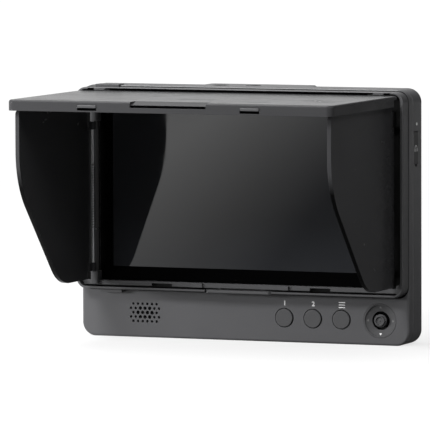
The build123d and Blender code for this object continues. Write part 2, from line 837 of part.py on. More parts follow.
def battery_plate():
    """The rear plate: four side hooks, guide ribs, a contact block and an opening for the release."""
    half = plate_width / 2
    plate = block(-half, half, plate_y, spine_y, plate_low, plate_high)
    for z in hook_z:
        for sign in (-1, 1):
            plate += battery_hook(sign, z)
    width, height = contact_block
    top = spine_y + hook_proud
    plate += block(-width / 2, width / 2, spine_y, top, contact_z, contact_z + height)
    high, cover = contact_slot
    for x in contact_x:
        slot = contact_width / 2 + seat_gap
        plate -= block(x - slot, x + slot, spine_y, top - cover,
                       contact_z + height - high, contact_z + height)
    rib_wide, rib_high = plate_rib
    for sign in (-1, 1):
        x0, x1 = sorted((sign * plate_rib_x, sign * (plate_rib_x + rib_wide)))
        plate += block(x0, x1, spine_y, spine_y + rib_high, contact_z + height, plate_high - contact_rise)
    gap = button_gap
    half_x, half_z = release_width / 2 + gap, release_height / 2 + gap
    plate -= block(-half_x, half_x, plate_y, spine_y, release_z - half_z, release_z + half_z)
    half_x = latch_width / 2 + gap
    return plate - block(-half_x, half_x, plate_y, spine_y, latch_z - latch_foot - gap, release_z)


def battery_hook(sign, z):
    """One of the plate's side hooks: a wall and the lip that laps over the pack's rail."""
    half, top = plate_width / 2, spine_y + hook_proud
    low, high = z - hook_long / 2, z + hook_long / 2
    near, far = sorted((sign * half, sign * (half - hook_wall)))
    hook = block(near, far, spine_y, top, low, high)
    near, far = sorted((sign * (half - hook_wall), sign * (half - hook_wall - hook_lip)))
    return hook + block(near, far, top - hook_lip_thick, top, low, high)


def battery_contacts():
    """Four spring blades that stand out of the contact block towards the pack."""
    base = contact_z + contact_block[1] - contact_slot[0]
    half = contact_width / 2
    blades = [block(x - half, x + half, spine_y, spine_y + contact_proud, base, base + contact_long)
              for x in contact_x]
    return Compound(blades)


def release_flange_box():
    """Half width, lower and upper end of the flange behind the battery release."""
    past = release_flange_past
    high = release_z + release_height / 2 + release_flange_rise
    return release_width / 2 + past, latch_z - latch_foot - past, high


def battery_release():
    """The push button and its latch nose, one piece on a flange behind the plate."""
    y0 = plate_y - seat_gap
    half_x, half_z = release_width / 2, release_height / 2
    piece = block(-half_x, half_x, y0, spine_y + release_proud, release_z - half_z, release_z + half_z)
    piece = fillet(piece.faces().sort_by(Axis.Y)[-1].edges(), release_edge_r)
    foot, shelf = latch_z - latch_foot, release_z - half_z
    nose = make_face(Plane.YZ * Polyline((y0, foot), (spine_y, foot),
                                         (spine_y + release_proud, latch_z + latch_rise[0]),
                                         (spine_y, latch_z + latch_rise[1]), (spine_y, shelf), (y0, shelf),
                                         close=True))
    piece += extrude(nose, latch_width / 2, both=True)
    half_x, low, high = release_flange_box()
    return piece + block(-half_x, half_x, y0 - release_flange, y0, low, high)


def hood_outline(inset=0.0):
    """The hood frame's rounded outline, drawn in X and Z."""
    width = 2 * (hood_half - inset)
    height = hood_high - hood_low - 2 * inset
    return Pos(0, (hood_low + hood_high) / 2) * RectangleRounded(width, height, hood_corner_r - inset)


def hood_frame():
    frame = along_y(hood_outline(), hood_y, front_y)
    frame = fillet(frame.faces().sort_by(Axis.Y)[0].edges(), hood_edge_r)
    side = hood_half - hood_side_wall
    low, high = hood_low + hood_lip, hood_high - hood_top_wall
    tray = Pos(0, (low + high) / 2) * RectangleRounded(2 * side, high - low, hood_corner_r - hood_side_wall)
    frame -= along_y(tray, hood_y, floor_y)
    frame += block(-side, side, bar_y, floor_y, bar_low, window_low)
    frame -= block(-window_half, window_half, floor_y, front_y, window_low, window_high)
    for sign in (-1, 1):
        frame -= block(sign * slot_x - slot_width / 2, sign * slot_x + slot_width / 2, bar_y, floor_y,
                       bar_low, bar_low + slot_height)
        frame += block(sign * pad_x - pad_width / 2, sign * pad_x + pad_width / 2, bar_y - pad_proud, bar_y,
                       bar_low, bar_low + pad_height)
        frame += lid_ear(sign * ear_x)
        rod_y = left_rod_y if sign < 0 else right_rod_y
        frame += rod_lugs(sign, rod_y)
        frame -= rod_along_z(rod_r + grip_fit, lug_low[0], lug_top[1], sign * rod_x, rod_y)
    cut = tab_half + tab_gap
    frame -= block(-cut, cut, hood_y, floor_y, hood_low, hood_low + hood_lip)
    peg_end = bar_low + tab_peg_long
    for x in (-tab_peg_x, tab_peg_x):
        frame -= rod_along_z(tab_peg_r + seat_gap, bar_low, peg_end, x, tab_peg_y)
    return frame


def lid_ear(x):
    """An ear under the frame's top wall with the bore for the lid's pin."""
    x0, x1 = x - ear_width / 2, x + ear_width / 2
    ear = rod_along_x(ear_r, x0, x1, lid_axis_y, lid_axis_z)
    ear += block(x0, x1, lid_axis_y, floor_y, lid_axis_z - ear_r, lid_axis_z + ear_r)
    ear += block(x0, x1, lid_axis_y, floor_y, lid_axis_z, hood_high - hood_top_wall)
    return ear - rod_along_x(lid_pin_r + grip_fit, x0, x1, lid_axis_y, lid_axis_z)


def rod_lugs(sign, y):
    """The two lugs, top and bottom, that hold a wing's rod."""
    near, far = sorted((sign * (rod_x - lug_in), sign * (rod_x + lug_out)))
    lugs = []
    for z0, z1 in (lug_top, lug_low):
        lug = block(near, far, y, floor_y, z0, z1)
        lug += block(near + lug_r, far - lug_r, y - lug_r, y, z0, z1)
        for x in (near + lug_r, far - lug_r):
            lug += rod_along_z(lug_r, z0, z1, x, y)
        lugs.append(lug)
    return lugs


def hood_release_tab():
    """The sprung segment of the lower lip, with pegs that slide in the bar above it."""
    top = hood_low + hood_lip
    tab = block(-tab_half, tab_half, hood_y, floor_y - seat_gap, top - tab_thick, top)
    front = tab.faces().sort_by(Axis.Y)[0]
    tab = chamfer(front.edges().filter_by(Axis.Z), tab_end)
    tab = fillet(tab.faces().sort_by(Axis.Y)[0].edges().filter_by(Axis.X), tab_edge_r)
    peg_end = bar_low + tab_peg_long - seat_gap
    for x in (-tab_peg_x, tab_peg_x):
        tab += rod_along_z(tab_peg_r, top, peg_end, x, tab_peg_y)
    return tab


def hood_clip():
    """The hook at the frame's upper left, which laps over the monitor's top edge."""
    x0, x1 = clip_x - clip_width / 2, clip_x + clip_width / 2
    web_y = front_y - clip_web
    clip = block(x0, x1, web_y, front_y + clip_reach, body_height, body_height + clip_thick)
    return clip + block(x0, x1, web_y, front_y, hood_high, body_height)


def hood_foot():
    """The small foot under the frame's lower left, which bears on the monitor's face."""
    x0, x1 = foot_x - foot_width / 2, foot_x + foot_width / 2
    return block(x0, x1, front_y - foot_depth, front_y, hood_low - foot_thick, hood_low)


def lid_shell():
    """The lid's plate with its flanges, the front one along the whole width."""
    rear = hood_y + lid_rear
    low = lid_top - lid_flange
    outline = Pos(0, (lid_front_y + rear) / 2) * Rectangle(2 * lid_half, rear - lid_front_y)
    shell = along_z(outline, low, lid_top)
    shell = fillet(shell.edges().filter_by(Axis.Z).sort_by(Axis.Y)[:2], lid_corner_r)
    shell = fillet(shell.faces().sort_by(Axis.Z)[-1].edges(), lid_edge_r)
    inner = lid_half - lid_side_wall
    shell -= block(-inner, inner, lid_front_y + lid_front_wall, rear, low, lid_under)
    shell -= block(-lid_half, lid_half, hood_y - lid_side_start, rear, low, lid_under)
    tail = lid_half - lid_tail_inset
    for x0, x1 in ((-lid_half, -tail), (tail, lid_half)):
        shell -= block(x0, x1, hood_y - lid_tail_start, rear, lid_under, lid_top)
    return shell


def latch_catch(x):
    """What is cut for a latch catch: a window through the front flange, less the bar across its top."""
    width, height = latch_window
    top = lid_top - latch_window_drop
    back = lid_front_y + lid_front_wall
    window = block(x - width / 2, x + width / 2, lid_front_y, back, top - height, top)
    bar_width, bar_height, bar_deep = latch_bar
    return window - block(x - bar_width / 2, x + bar_width / 2, back - bar_deep, back, top - bar_height, top)


def finger_grip():
    """The scoop in the lid's front edge: a slope down to a groove."""
    low = lid_top - grip_drop
    slope = make_face(Plane.YZ * Polyline((lid_front_y, low), (lid_front_y + grip_slope, lid_top),
                                          (lid_front_y, lid_top), close=True))
    height, deep = grip_groove
    groove = block(-grip_half, grip_half, lid_front_y, lid_front_y + deep, low - height, low)
    return groove + extrude(slope, grip_half, both=True)


def lid_knuckles(sign):
    """The two barrels either side of an ear, with the strip of plate cut away between them."""
    barrels, bores = [], []
    for side in (-1, 1):
        start = sign * ear_x + side * (ear_width / 2 + ear_gap)
        x0, x1 = sorted((start, start + side * barrel_width))
        barrels.append(rod_along_x(barrel_r, x0, x1, lid_axis_y, lid_axis_z))
        bores.append(rod_along_x(lid_pin_r + run_gap, x0, x1, lid_axis_y, lid_axis_z))
    return barrels, bores


def hood_lid():
    """The hood's top panel, hinged at the rear on two pairs of barrels and ribbed underneath."""
    lid = lid_shell()
    rib_width, rib_high = rib_size
    for x in [sign * x for x in rib_x for sign in (-1, 1)]:
        lid += block(x - rib_width / 2, x + rib_width / 2, lid_front_y + lid_front_wall,
                     hood_y - rib_margin, lid_under - rib_high, lid_under)
    lid -= finger_grip()
    notch = ear_width / 2 + ear_gap
    for sign in (-1, 1):
        lid -= latch_catch(sign * slot_x)
        lid -= block(sign * ear_x - notch, sign * ear_x + notch,
                     lid_axis_y - ear_r - ear_gap, hood_y + lid_rear, lid_under, lid_top)
        barrels, bores = lid_knuckles(sign)
        lid += barrels
        lid -= bores
    return lid


def hood_lid_pins():
    half = ear_width / 2 + ear_gap + barrel_width
    pins = [rod_along_x(lid_pin_r, x - half, x + half, lid_axis_y, lid_axis_z) for x in (-ear_x, ear_x)]
    return Compound(pins)


def wing_outline(rod_y):
    """The wing's side view in Y and Z: straight front edge, slanted lower edge, rounded toe."""
    front = rod_y - wing_reach
    toe = front + wing_slant * (wing_edge_low - wing_low)
    rear = rod_y - wing_rear_gap
    path = FilletPolyline((rear, wing_high), (front, wing_high), (front, wing_edge_low), (toe, wing_low),
                          (rear, wing_low), radius=(wing_corner_r, wing_bend_r, wing_toe_r))
    return make_face([path, Line((rear, wing_low), (rear, wing_high))])


def hood_wing(sign, rod_y):
    outer = rod_x + wing_offset
    x0, x1 = sorted((sign * outer, sign * (outer - wing_thick)))
    wing = along_x(wing_outline(rod_y), x0, x1)
    relief = rod_y - lug_relief
    wing -= block(x0, x1, relief, rod_y, lug_top[0] - axial_gap, wing_high)
    wing -= block(x0, x1, relief, rod_y, wing_low, lug_low[1] + axial_gap)
    for z0 in (lug_low[1] + axial_gap, lug_top[0] - axial_gap - knuckle_long):
        z1 = z0 + knuckle_long
        wing += rod_along_z(knuckle_r, z0, z1, sign * rod_x, rod_y)
        near, far = sorted((sign * (rod_x + knuckle_r), sign * (rod_x - knuckle_root)))
        wing += block(near, far, rod_y - lug_relief, rod_y, z0, z1)
        wing -= rod_along_z(rod_r + run_gap, z0, z1, sign * rod_x, rod_y)
    return wing


def wing_rod(sign, rod_y):
    return rod_along_z(rod_r, lug_low[0], lug_top[1], sign * rod_x, rod_y)


def wing_spring(sign, rod_y):
    """The close-wound torsion spring round a rod: a sleeve ridged once for each coil."""
    inner = rod_r + run_gap
    coils = round((spring_z[1] - spring_z[0]) / spring_pitch)
    points = [(inner, 0)]
    for coil in range(coils):
        points.append((spring_r - spring_wire / 2, coil * spring_pitch))
        points.append((spring_r, (coil + 0.5) * spring_pitch))
    points.append((spring_r - spring_wire / 2, coils * spring_pitch))
    points.append((inner, coils * spring_pitch))
    profile = make_face(Plane.XZ * Polyline(*points, close=True))
    return Pos(sign * rod_x, rod_y, spring_z[0]) * revolve(profile, Axis.Z)


def pieces():
    made = {
        "front_case": front_case(),
        "rear_case": rear_case(),
        "screen_surround": screen_surround(),
        "screen_glass": screen_glass(),
        "lcd_panel": lcd_panel(),
        "chassis_plate": chassis_plate(),
        "main_board": main_board(),
        "control_board": control_board(),
        "key_switches": key_switches(),
        "stick_bezel": stick_bezel(),
        "stick_base": stick_base(),
        "stick_ring": stick_ring(),
        "stick_disc": stick_disc(),
        "stick_cap": stick_cap(),
        "speaker_mesh": speaker_mesh(),
        "speaker_driver": speaker_driver(),
        "case_screws": case_screws(),
        "hdmi_socket": hdmi_socket(),
        "dc_socket": dc_socket(),
        "power_switch": power_switch(),
        "power_switch_body": power_switch_body(),
        "port_cover": port_cover(),
        "port_cover_pin": port_cover_pin(),
        "sound_socket": sound_socket(),
        "status_lamp": status_lamp(),
        "battery_plate": battery_plate(),
        "battery_contacts": battery_contacts(),
        "battery_release": battery_release(),
        "hood_frame": hood_frame(),
        "hood_release_tab": hood_release_tab(),
        "hood_clip": hood_clip(),
        "hood_foot": hood_foot(),
        "hood_lid": hood_lid(),
        "hood_lid_pins": hood_lid_pins(),
    }
    for number, x in enumerate(button_x, 1):
        made[f"button_{number}"] = button_cap(x)
    for place, top in (("top", True), ("base", False)):
        made[f"tripod_socket_{place}"] = socket_sleeve(socket_r, thread_r, socket_long, thread_long, top, 0)
        made[f"locating_bush_{place}"] = socket_sleeve(bush_r, pin_r, bush_long, pin_long, top, -pin_offset)
    for side, sign, rod_y in (("left", -1, left_rod_y), ("right", 1, right_rod_y)):
        made[f"hood_wing_{side}"] = hood_wing(sign, rod_y)
        made[f"wing_rod_{side}"] = wing_rod(sign, rod_y)
        made[f"wing_spring_{side}"] = wing_spring(sign, rod_y)
    return made


def main():
    os.makedirs("parts", exist_ok=True)
    for name, shape in pieces().items():
        export_step(shape, f"parts/{name}.step")
        print(name)


main()
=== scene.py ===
import json
import math
import bmesh
import bpy
from mathutils import Matrix, Vector


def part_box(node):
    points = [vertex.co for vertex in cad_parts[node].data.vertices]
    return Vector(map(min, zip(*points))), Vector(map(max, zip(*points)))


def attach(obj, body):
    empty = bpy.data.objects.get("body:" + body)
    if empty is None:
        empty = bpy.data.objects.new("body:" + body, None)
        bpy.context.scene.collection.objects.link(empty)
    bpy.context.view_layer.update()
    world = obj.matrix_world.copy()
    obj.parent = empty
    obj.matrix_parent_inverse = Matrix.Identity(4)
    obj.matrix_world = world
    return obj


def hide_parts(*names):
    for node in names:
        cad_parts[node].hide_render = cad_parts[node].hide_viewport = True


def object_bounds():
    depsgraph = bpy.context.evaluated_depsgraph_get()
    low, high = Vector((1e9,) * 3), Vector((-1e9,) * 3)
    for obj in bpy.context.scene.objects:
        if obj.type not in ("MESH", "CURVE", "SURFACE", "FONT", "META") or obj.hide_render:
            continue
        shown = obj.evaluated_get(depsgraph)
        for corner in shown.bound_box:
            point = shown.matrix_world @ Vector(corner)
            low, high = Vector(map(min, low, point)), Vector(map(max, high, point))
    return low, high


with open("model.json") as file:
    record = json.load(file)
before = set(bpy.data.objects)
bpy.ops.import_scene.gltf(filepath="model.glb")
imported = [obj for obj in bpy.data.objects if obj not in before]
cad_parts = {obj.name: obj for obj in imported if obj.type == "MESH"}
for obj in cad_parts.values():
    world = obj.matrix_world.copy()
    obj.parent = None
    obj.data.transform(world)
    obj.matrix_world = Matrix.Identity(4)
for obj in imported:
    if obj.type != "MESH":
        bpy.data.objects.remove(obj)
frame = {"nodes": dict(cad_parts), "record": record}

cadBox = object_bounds()     # the CAD model's box, before anything is added
mm = 0.001               # pieces are measured in mm, and meshes, lamps and the floor in metres


# helpers for node trees

def emptyTree(owner, output):
    # the owner's tree with nothing but its output node, and that node's surface socket
    owner.use_nodes = True
    tree = owner.node_tree
    tree.nodes.clear()
    return tree, tree.nodes.new(output).inputs["Surface"]


def newMaterial(name):
    mat = bpy.data.materials.new(name)
    tree, surface = emptyTree(mat, "ShaderNodeOutputMaterial")
    shader = tree.nodes.new("ShaderNodeBsdfPrincipled")
    tree.links.new(shader.outputs["BSDF"], surface)
    return mat, tree, shader


def feed(tree, socket, value):
    # another node's output is linked to the socket, and anything else is set on it
    if isinstance(value, bpy.types.NodeSocket):
        tree.links.new(value, socket)
    else:
        socket.default_value = (*value, 1) if socket.type == "RGBA" else value


def add(tree, kind, **values):
    # a new node: a name of one of its inputs is fed, any other name is a setting of the node
    node = tree.nodes.new(kind)
    for key, value in values.items():
        if key in node.inputs:
            feed(tree, node.inputs[key], value)
        else:
            setattr(node, key, value)
    return node


def calc(tree, operation, *terms, clamp=False):
    # one Math node: each term is a number or another node's output
    node = add(tree, "ShaderNodeMath", operation=operation, use_clamp=clamp)
    for socket, term in zip(node.inputs, terms):
        feed(tree, socket, term)
    return node.outputs[0]


def vectorCalc(tree, operation, *terms):
    node = add(tree, "ShaderNodeVectorMath", operation=operation)
    for socket, term in zip(node.inputs, terms):
        feed(tree, socket, term)
    return node.outputs


def ramp(tree, value, low, high, toLow=0.0, toHigh=1.0):
    ends = {"From Min": low, "From Max": high, "To Min": toLow, "To Max": toHigh}
    return add(tree, "ShaderNodeMapRange", Value=value, **ends).outputs["Result"]


mixSockets = {"FLOAT": (2, 3, 0), "RGBA": (6, 7, 2)}    # inputs A and B and the output, by type


def mixed(tree, mask, low, high, kind="RGBA"):
    # goes from low to high as the mask goes from 0 to 1
    node = add(tree, "ShaderNodeMix", data_type=kind, Factor=mask)
    first, second, result = mixSockets[kind]
    feed(tree, node.inputs[first], low)
    feed(tree, node.inputs[second], high)
    return node.outputs[result]


def scaled(tree, colour, factor):
    return add(tree, "ShaderNodeVectorMath", operation="SCALE", Vector=colour, Scale=factor).outputs[0]


def objectPoint(tree, **mapping):
    # Object coordinates, through a Mapping node where a scale, turn or shift is given
    point = add(tree, "ShaderNodeTexCoord").outputs["Object"]
    if not mapping:
        return point
    return add(tree, "ShaderNodeMapping", Vector=point, **mapping).outputs["Vector"]


def noise(tree, point, scale, detail=2.0, roughness=0.5):
    settings = {"Scale": scale, "Detail": detail, "Roughness": roughness}
    return add(tree, "ShaderNodeTexNoise", Vector=point, **settings).outputs["Fac"]


def newGroup(name, inputs, outputs):
    group = bpy.data.node_groups.new(name, "ShaderNodeTree")
    for label, kind, value in inputs:
        socket = group.interface.new_socket(label, in_out="INPUT", socket_type="NodeSocket" + kind)
        socket.default_value = value
    for label, kind in outputs:
        group.interface.new_socket(label, in_out="OUTPUT", socket_type="NodeSocket" + kind)
    return group, group.nodes.new("NodeGroupInput"), group.nodes.new("NodeGroupOutput")


def giveOut(group, gout, **results):
    for label, result in results.items():
        group.links.new(result, gout.inputs[label])


def place(tree, group, **values):
    # a group in a tree, with its inputs fed
    return add(tree, "ShaderNodeGroup", node_tree=group, **values)


# effects shared by the materials

skinLook = {
    "driftScale": 38.0,        # size of the slow change of tone
    "turned": (0.995, 0.80),   # how far a softened corner turns, from none of the painted highlight to all of it
    "patchy": 0.08,            # how much duller the pale patches are
    "polish": -0.12,           # how much glossier the same corners are
    "bump": 0.03 * mm,
}


def mouldedSkin():
    # spark-eroded mould texture: colour drift, fine grain, and softened corners that are glossier and
    # carry a painted highlight
    group, gin, gout = newGroup("mouldedSkin", [
        ("Color", "Color", (0.1, 0.1, 0.1, 1)),
        ("Drift", "Float", 0.1),
        ("Roughness", "Float", 0.5),
        ("Grain size", "Float", 2600.0),
        ("Grain depth", "Float", 0.25),
        ("Corner", "Float", 0.22 * mm),
        ("Painted corner highlight", "Float", 0.6),
    ], [("Color", "Color"), ("Roughness", "Float"), ("Normal", "Vector")])
    point = objectPoint(group)
    fine = noise(group, point, gin.outputs["Grain size"], roughness=0.6)
    broad = noise(group, point, skinLook["driftScale"], detail=3.0)
    centred = calc(group, "SUBTRACT", calc(group, "ADD", fine, broad), 1.0)
    drift = calc(group, "MULTIPLY", centred, gin.outputs["Drift"])
    rounded = add(group, "ShaderNodeBevel", samples=4, Radius=gin.outputs["Corner"]).outputs["Normal"]
    flat = add(group, "ShaderNodeNewGeometry").outputs["Normal"]
    turn = vectorCalc(group, "DOT_PRODUCT", rounded, flat)["Value"]
    # painted highlight: the colour of the softened corners is lifted as if they caught the light
    cornerGlossAndHighlight = calc(group, "MULTIPLY", ramp(group, turn, *skinLook["turned"]), gin.outputs["Painted corner highlight"])
    level = calc(group, "ADD", calc(group, "ADD", drift, cornerGlossAndHighlight), 1.0)
    patchy = calc(group, "MULTIPLY_ADD", broad, skinLook["patchy"], gin.outputs["Roughness"])
    bump = add(group, "ShaderNodeBump", Distance=skinLook["bump"], Strength=gin.outputs["Grain depth"],
               Height=fine, Normal=rounded)
    giveOut(group, gout, Color=scaled(group, gin.outputs["Color"], level),
            Roughness=calc(group, "MULTIPLY_ADD", cornerGlossAndHighlight, skinLook["polish"], patchy),
            Normal=bump.outputs["Normal"])
    return group


dustLook = {
    "colour": (0.42, 0.41, 0.39),
    "speckScale": 420.0,
    "speck": (0.10, 0.04),     # from a cell's middle, from bare to covered
    "sparse": (0.56, 0.66),
    "upward": (0.2, 0.9),      # how far a face looks up, from least dust to most
    "least": 0.15,
    "wiped": (0.5, 0.7),
    "roughen": 0.3,
}


def settledDust():
    # pale specks, thicker on faces that look up, and faint dull smears from hands
    group, gin, gout = newGroup("settledDust", [
        ("Color", "Color", (0.1, 0.1, 0.1, 1)),
        ("Roughness", "Float", 0.5),
        ("Dust", "Float", 0.2),
        ("Smear", "Float", 0.1),
    ], [("Color", "Color"), ("Roughness", "Float")])
    point = objectPoint(group)
    cells = add(group, "ShaderNodeTexVoronoi", Scale=dustLook["speckScale"], Randomness=1.0, Vector=point)
    speck = ramp(group, cells.outputs["Distance"], *dustLook["speck"])
    sparse = ramp(group, noise(group, point, 90.0), *dustLook["sparse"])
    normal = add(group, "ShaderNodeNewGeometry").outputs["Normal"]
    rise = add(group, "ShaderNodeSeparateXYZ", Vector=normal).outputs["Z"]
    upward = ramp(group, rise, *dustLook["upward"], toLow=dustLook["least"])
    amount = calc(group, "MULTIPLY", calc(group, "MULTIPLY", speck, sparse), upward)
    amount = calc(group, "MULTIPLY", amount, gin.outputs["Dust"], clamp=True)
    streaks = noise(group, objectPoint(group, Scale=(1.0, 1.0, 2.4)), 55.0, detail=4.0, roughness=0.65)
    dull = calc(group, "MULTIPLY", ramp(group, streaks, *dustLook["wiped"]), gin.outputs["Smear"])
    rough = calc(group, "ADD", gin.outputs["Roughness"], dull)
    giveOut(group, gout, Color=mixed(group, amount, gin.outputs["Color"], dustLook["colour"]),
            Roughness=calc(group, "MULTIPLY_ADD", amount, dustLook["roughen"], rough))
    return group


metalLook = {
    "toneScale": 120.0,
    "roughen": 0.14,           # how much duller the bottoms of the lines are
    "strength": 0.25,
    "bump": 0.02 * mm,
}


def drawnMetal():
    # fine lines left by rolling or turning, with a slow change of tone
    group, gin, gout = newGroup("drawnMetal", [
        ("Color", "Color", (0.5, 0.5, 0.5, 1)),
        ("Roughness", "Float", 0.3),
        ("Lines", "Vector", (200.0, 200.0, 4000.0)),
        ("Contrast", "Float", 0.15),
    ], [("Color", "Color"), ("Roughness", "Float"), ("Normal", "Vector")])
    stretched = vectorCalc(group, "MULTIPLY", objectPoint(group), gin.outputs["Lines"])[0]
    lines = noise(group, stretched, 1.0, detail=3.0, roughness=0.7)
    tone = noise(group, objectPoint(group), metalLook["toneScale"])
    both = calc(group, "SUBTRACT", calc(group, "ADD", lines, tone), 1.0)
    level = calc(group, "ADD", calc(group, "MULTIPLY", both, gin.outputs["Contrast"]), 1.0)
    bump = add(group, "ShaderNodeBump", Strength=metalLook["strength"], Distance=metalLook["bump"],
               Height=lines)
    giveOut(group, gout, Color=scaled(group, gin.outputs["Color"], level),
            Roughness=calc(group, "MULTIPLY_ADD", lines, metalLook["roughen"], gin.outputs["Roughness"]),
            Normal=bump.outputs["Normal"])
    return group


skinGroup = mouldedSkin()
dustGroup = settledDust()
metalGroup = drawnMetal()
print("shared effects")


# finishes

def plastic(name, colour, roughness, specular=0.5, dust=0.25, smear=0.08, **skin):
    mat, tree, shader = newMaterial(name)
    effect = place(tree, skinGroup, Color=colour, Roughness=roughness, **skin)
    used = place(tree, dustGroup, Color=effect.outputs["Color"], Roughness=effect.outputs["Roughness"],
                 Dust=dust, Smear=smear)
    tree.links.new(used.outputs["Color"], shader.inputs["Base Color"])
    tree.links.new(used.outputs["Roughness"], shader.inputs["Roughness"])
    tree.links.new(effect.outputs["Normal"], shader.inputs["Normal"])
    shader.inputs["Specular IOR Level"].default_value = specular
    return mat


def metal(name, colour, roughness, lines, contrast=0.15):
    mat, tree, shader = newMaterial(name)
    effect = place(tree, metalGroup, Color=colour, Roughness=roughness, Lines=lines, Contrast=contrast)
    shader.inputs["Metallic"].default_value = 1.0
    tree.links.new(effect.outputs["Color"], shader.inputs["Base Color"])
    tree.links.new(effect.outputs["Roughness"], shader.inputs["Roughness"])
    tree.links.new(effect.outputs["Normal"], shader.inputs["Normal"])
    return mat


screenLook = {
    "panel": (0.0130, 0.0139, 0.0163),
    "line": (0.0190, 0.0202, 0.0229),
    "lines": 2700.0,
    "roughness": 0.03,
    "streak": 0.012,           # how much duller a wiped streak is
    "index": 1.80,
}


def screenGlass():
    # a dark panel with faint lines of cells under bright glass, wipe marks and a little dust on it
    mat, tree, shader = newMaterial("screenGlass")
    cells = add(tree, "ShaderNodeTexWave", Scale=screenLook["lines"], Distortion=0.0,
                Vector=objectPoint(tree))
    base = mixed(tree, cells.outputs["Fac"], screenLook["panel"], screenLook["line"])
    point = objectPoint(tree, Rotation=(0, 0.5, 0), Scale=(1, 1, 3))
    wipe = ramp(tree, noise(tree, point, 30.0, detail=5.0, roughness=0.6), 0.45, 0.75)
    dull = calc(tree, "MULTIPLY_ADD", wipe, screenLook["streak"], screenLook["roughness"])
    used = place(tree, dustGroup, Color=base, Roughness=dull, Dust=0.35, Smear=0.03)
    tree.links.new(used.outputs["Color"], shader.inputs["Base Color"])
    tree.links.new(used.outputs["Roughness"], shader.inputs["Roughness"])
    shader.inputs["IOR"].default_value = screenLook["index"]
    return mat


boardLook = {
    "resist": (0.012, 0.075, 0.035),
    "track": (0.03, 0.15, 0.06),
    "pad": (0.62, 0.60, 0.55),
    "tracks": 260.0,
    "pads": 330.0,
    "padEdge": (0.16, 0.12),
    "roughness": (0.38, 0.25),    # of the resist and of the pads
}


def circuitBoard():
    # green resist over copper tracks, with bright pads where parts are soldered
    mat, tree, shader = newMaterial("circuitBoard")
    tracks = add(tree, "ShaderNodeTexBrick", offset=0.35, squash=1.6, Scale=boardLook["tracks"],
                 Vector=objectPoint(tree, Rotation=(math.pi / 2, 0, 0)))
    tracks.inputs["Mortar Size"].default_value = 0.012
    pads = add(tree, "ShaderNodeTexVoronoi", Scale=boardLook["pads"], distance="CHEBYCHEV",
               Vector=objectPoint(tree))
    pad = ramp(tree, pads.outputs["Distance"], *boardLook["padEdge"])
    shade = calc(tree, "MULTIPLY_ADD", noise(tree, objectPoint(tree), 60.0), 0.5, 0.75)
    copper = mixed(tree, tracks.outputs["Fac"], boardLook["resist"], boardLook["track"])
    bump = add(tree, "ShaderNodeBump", Strength=0.4, Distance=0.05 * mm,
               Height=calc(tree, "ADD", pad, tracks.outputs["Fac"]))
    soldered = mixed(tree, pad, scaled(tree, copper, shade), boardLook["pad"])
    tree.links.new(soldered, shader.inputs["Base Color"])
    tree.links.new(ramp(tree, pad, 0, 1, *boardLook["roughness"]), shader.inputs["Roughness"])
    tree.links.new(bump.outputs["Normal"], shader.inputs["Normal"])
    return mat


clothLook = {
    "gap": (0.0015, 0.0015, 0.0015),
    "thread": (0.012, 0.012, 0.012),
    "threads": 900.0,
    "turns": (45, -45),
    "roughness": (0.75, 0.95),
}


def grilleCloth():
    # black woven cloth behind the speaker's holes
    mat, tree, shader = newMaterial("grilleCloth")
    threads = []
    for turn in clothLook["turns"]:
        point = objectPoint(tree, Rotation=(0, math.radians(turn), 0))
        wave = add(tree, "ShaderNodeTexWave", Scale=clothLook["threads"], Distortion=0.6, Vector=point)
        threads.append(wave.outputs["Fac"])
    weave = calc(tree, "MAXIMUM", *threads)
    lint = noise(tree, objectPoint(tree), 800.0, detail=3.0)
    bump = add(tree, "ShaderNodeBump", Strength=0.8, Distance=0.1 * mm, Height=weave)
    tree.links.new(mixed(tree, weave, clothLook["gap"], clothLook["thread"]), shader.inputs["Base Color"])
    tree.links.new(ramp(tree, lint, 0.3, 0.7, *clothLook["roughness"]), shader.inputs["Roughness"])
    tree.links.new(bump.outputs["Normal"], shader.inputs["Normal"])
    return mat


lensLook = {
    "dense": (0.62, 0.64, 0.62),
    "clear": (0.82, 0.84, 0.82),
    "rim": (0.9, 0.92, 0.9),
    "roughness": (0.16, 0.3),
    "coat": 0.4,
}


def lampLens():
    # milky lens: a painted sheen brightens its edge where it turns from the camera, cloudy middle
    mat, tree, shader = newMaterial("lampLens")
    cloud = noise(tree, objectPoint(tree), 900.0, detail=3.0)
    # painted sheen, by how far the surface turns from the camera
    rim = add(tree, "ShaderNodeLayerWeight", Blend=0.4).outputs["Facing"]
    milk = mixed(tree, cloud, lensLook["dense"], lensLook["clear"])
    tree.links.new(mixed(tree, rim, milk, lensLook["rim"]), shader.inputs["Base Color"])
    tree.links.new(ramp(tree, cloud, 0.3, 0.7, *lensLook["roughness"]), shader.inputs["Roughness"])
    shader.inputs["Coat Weight"].default_value = lensLook["coat"]
    return mat


inkLook = {
    "thin": 0.75,              # how much of its colour is left where the ink is thin
    "coverScale": 3800.0,
    "cover": (0.3, 0.7),
    "roughness": (0.42, 0.56),
}


def printedInk(name, colour):
    # pad-printed ink: slightly uneven cover with a soft bump at its edge
    mat, tree, shader = newMaterial(name)
    cover = noise(tree, objectPoint(tree), inkLook["coverScale"], detail=3.0, roughness=0.6)
    thin = tuple(inkLook["thin"] * part for part in colour)
    ink = mixed(tree, ramp(tree, cover, *inkLook["cover"]), thin, colour)
    bump = add(tree, "ShaderNodeBump", Strength=0.2, Distance=0.02 * mm, Height=cover)
    tree.links.new(ink, shader.inputs["Base Color"])
    tree.links.new(ramp(tree, cover, *inkLook["cover"], *inkLook["roughness"]), shader.inputs["Roughness"])
    tree.links.new(bump.outputs["Normal"], shader.inputs["Normal"])
    return mat


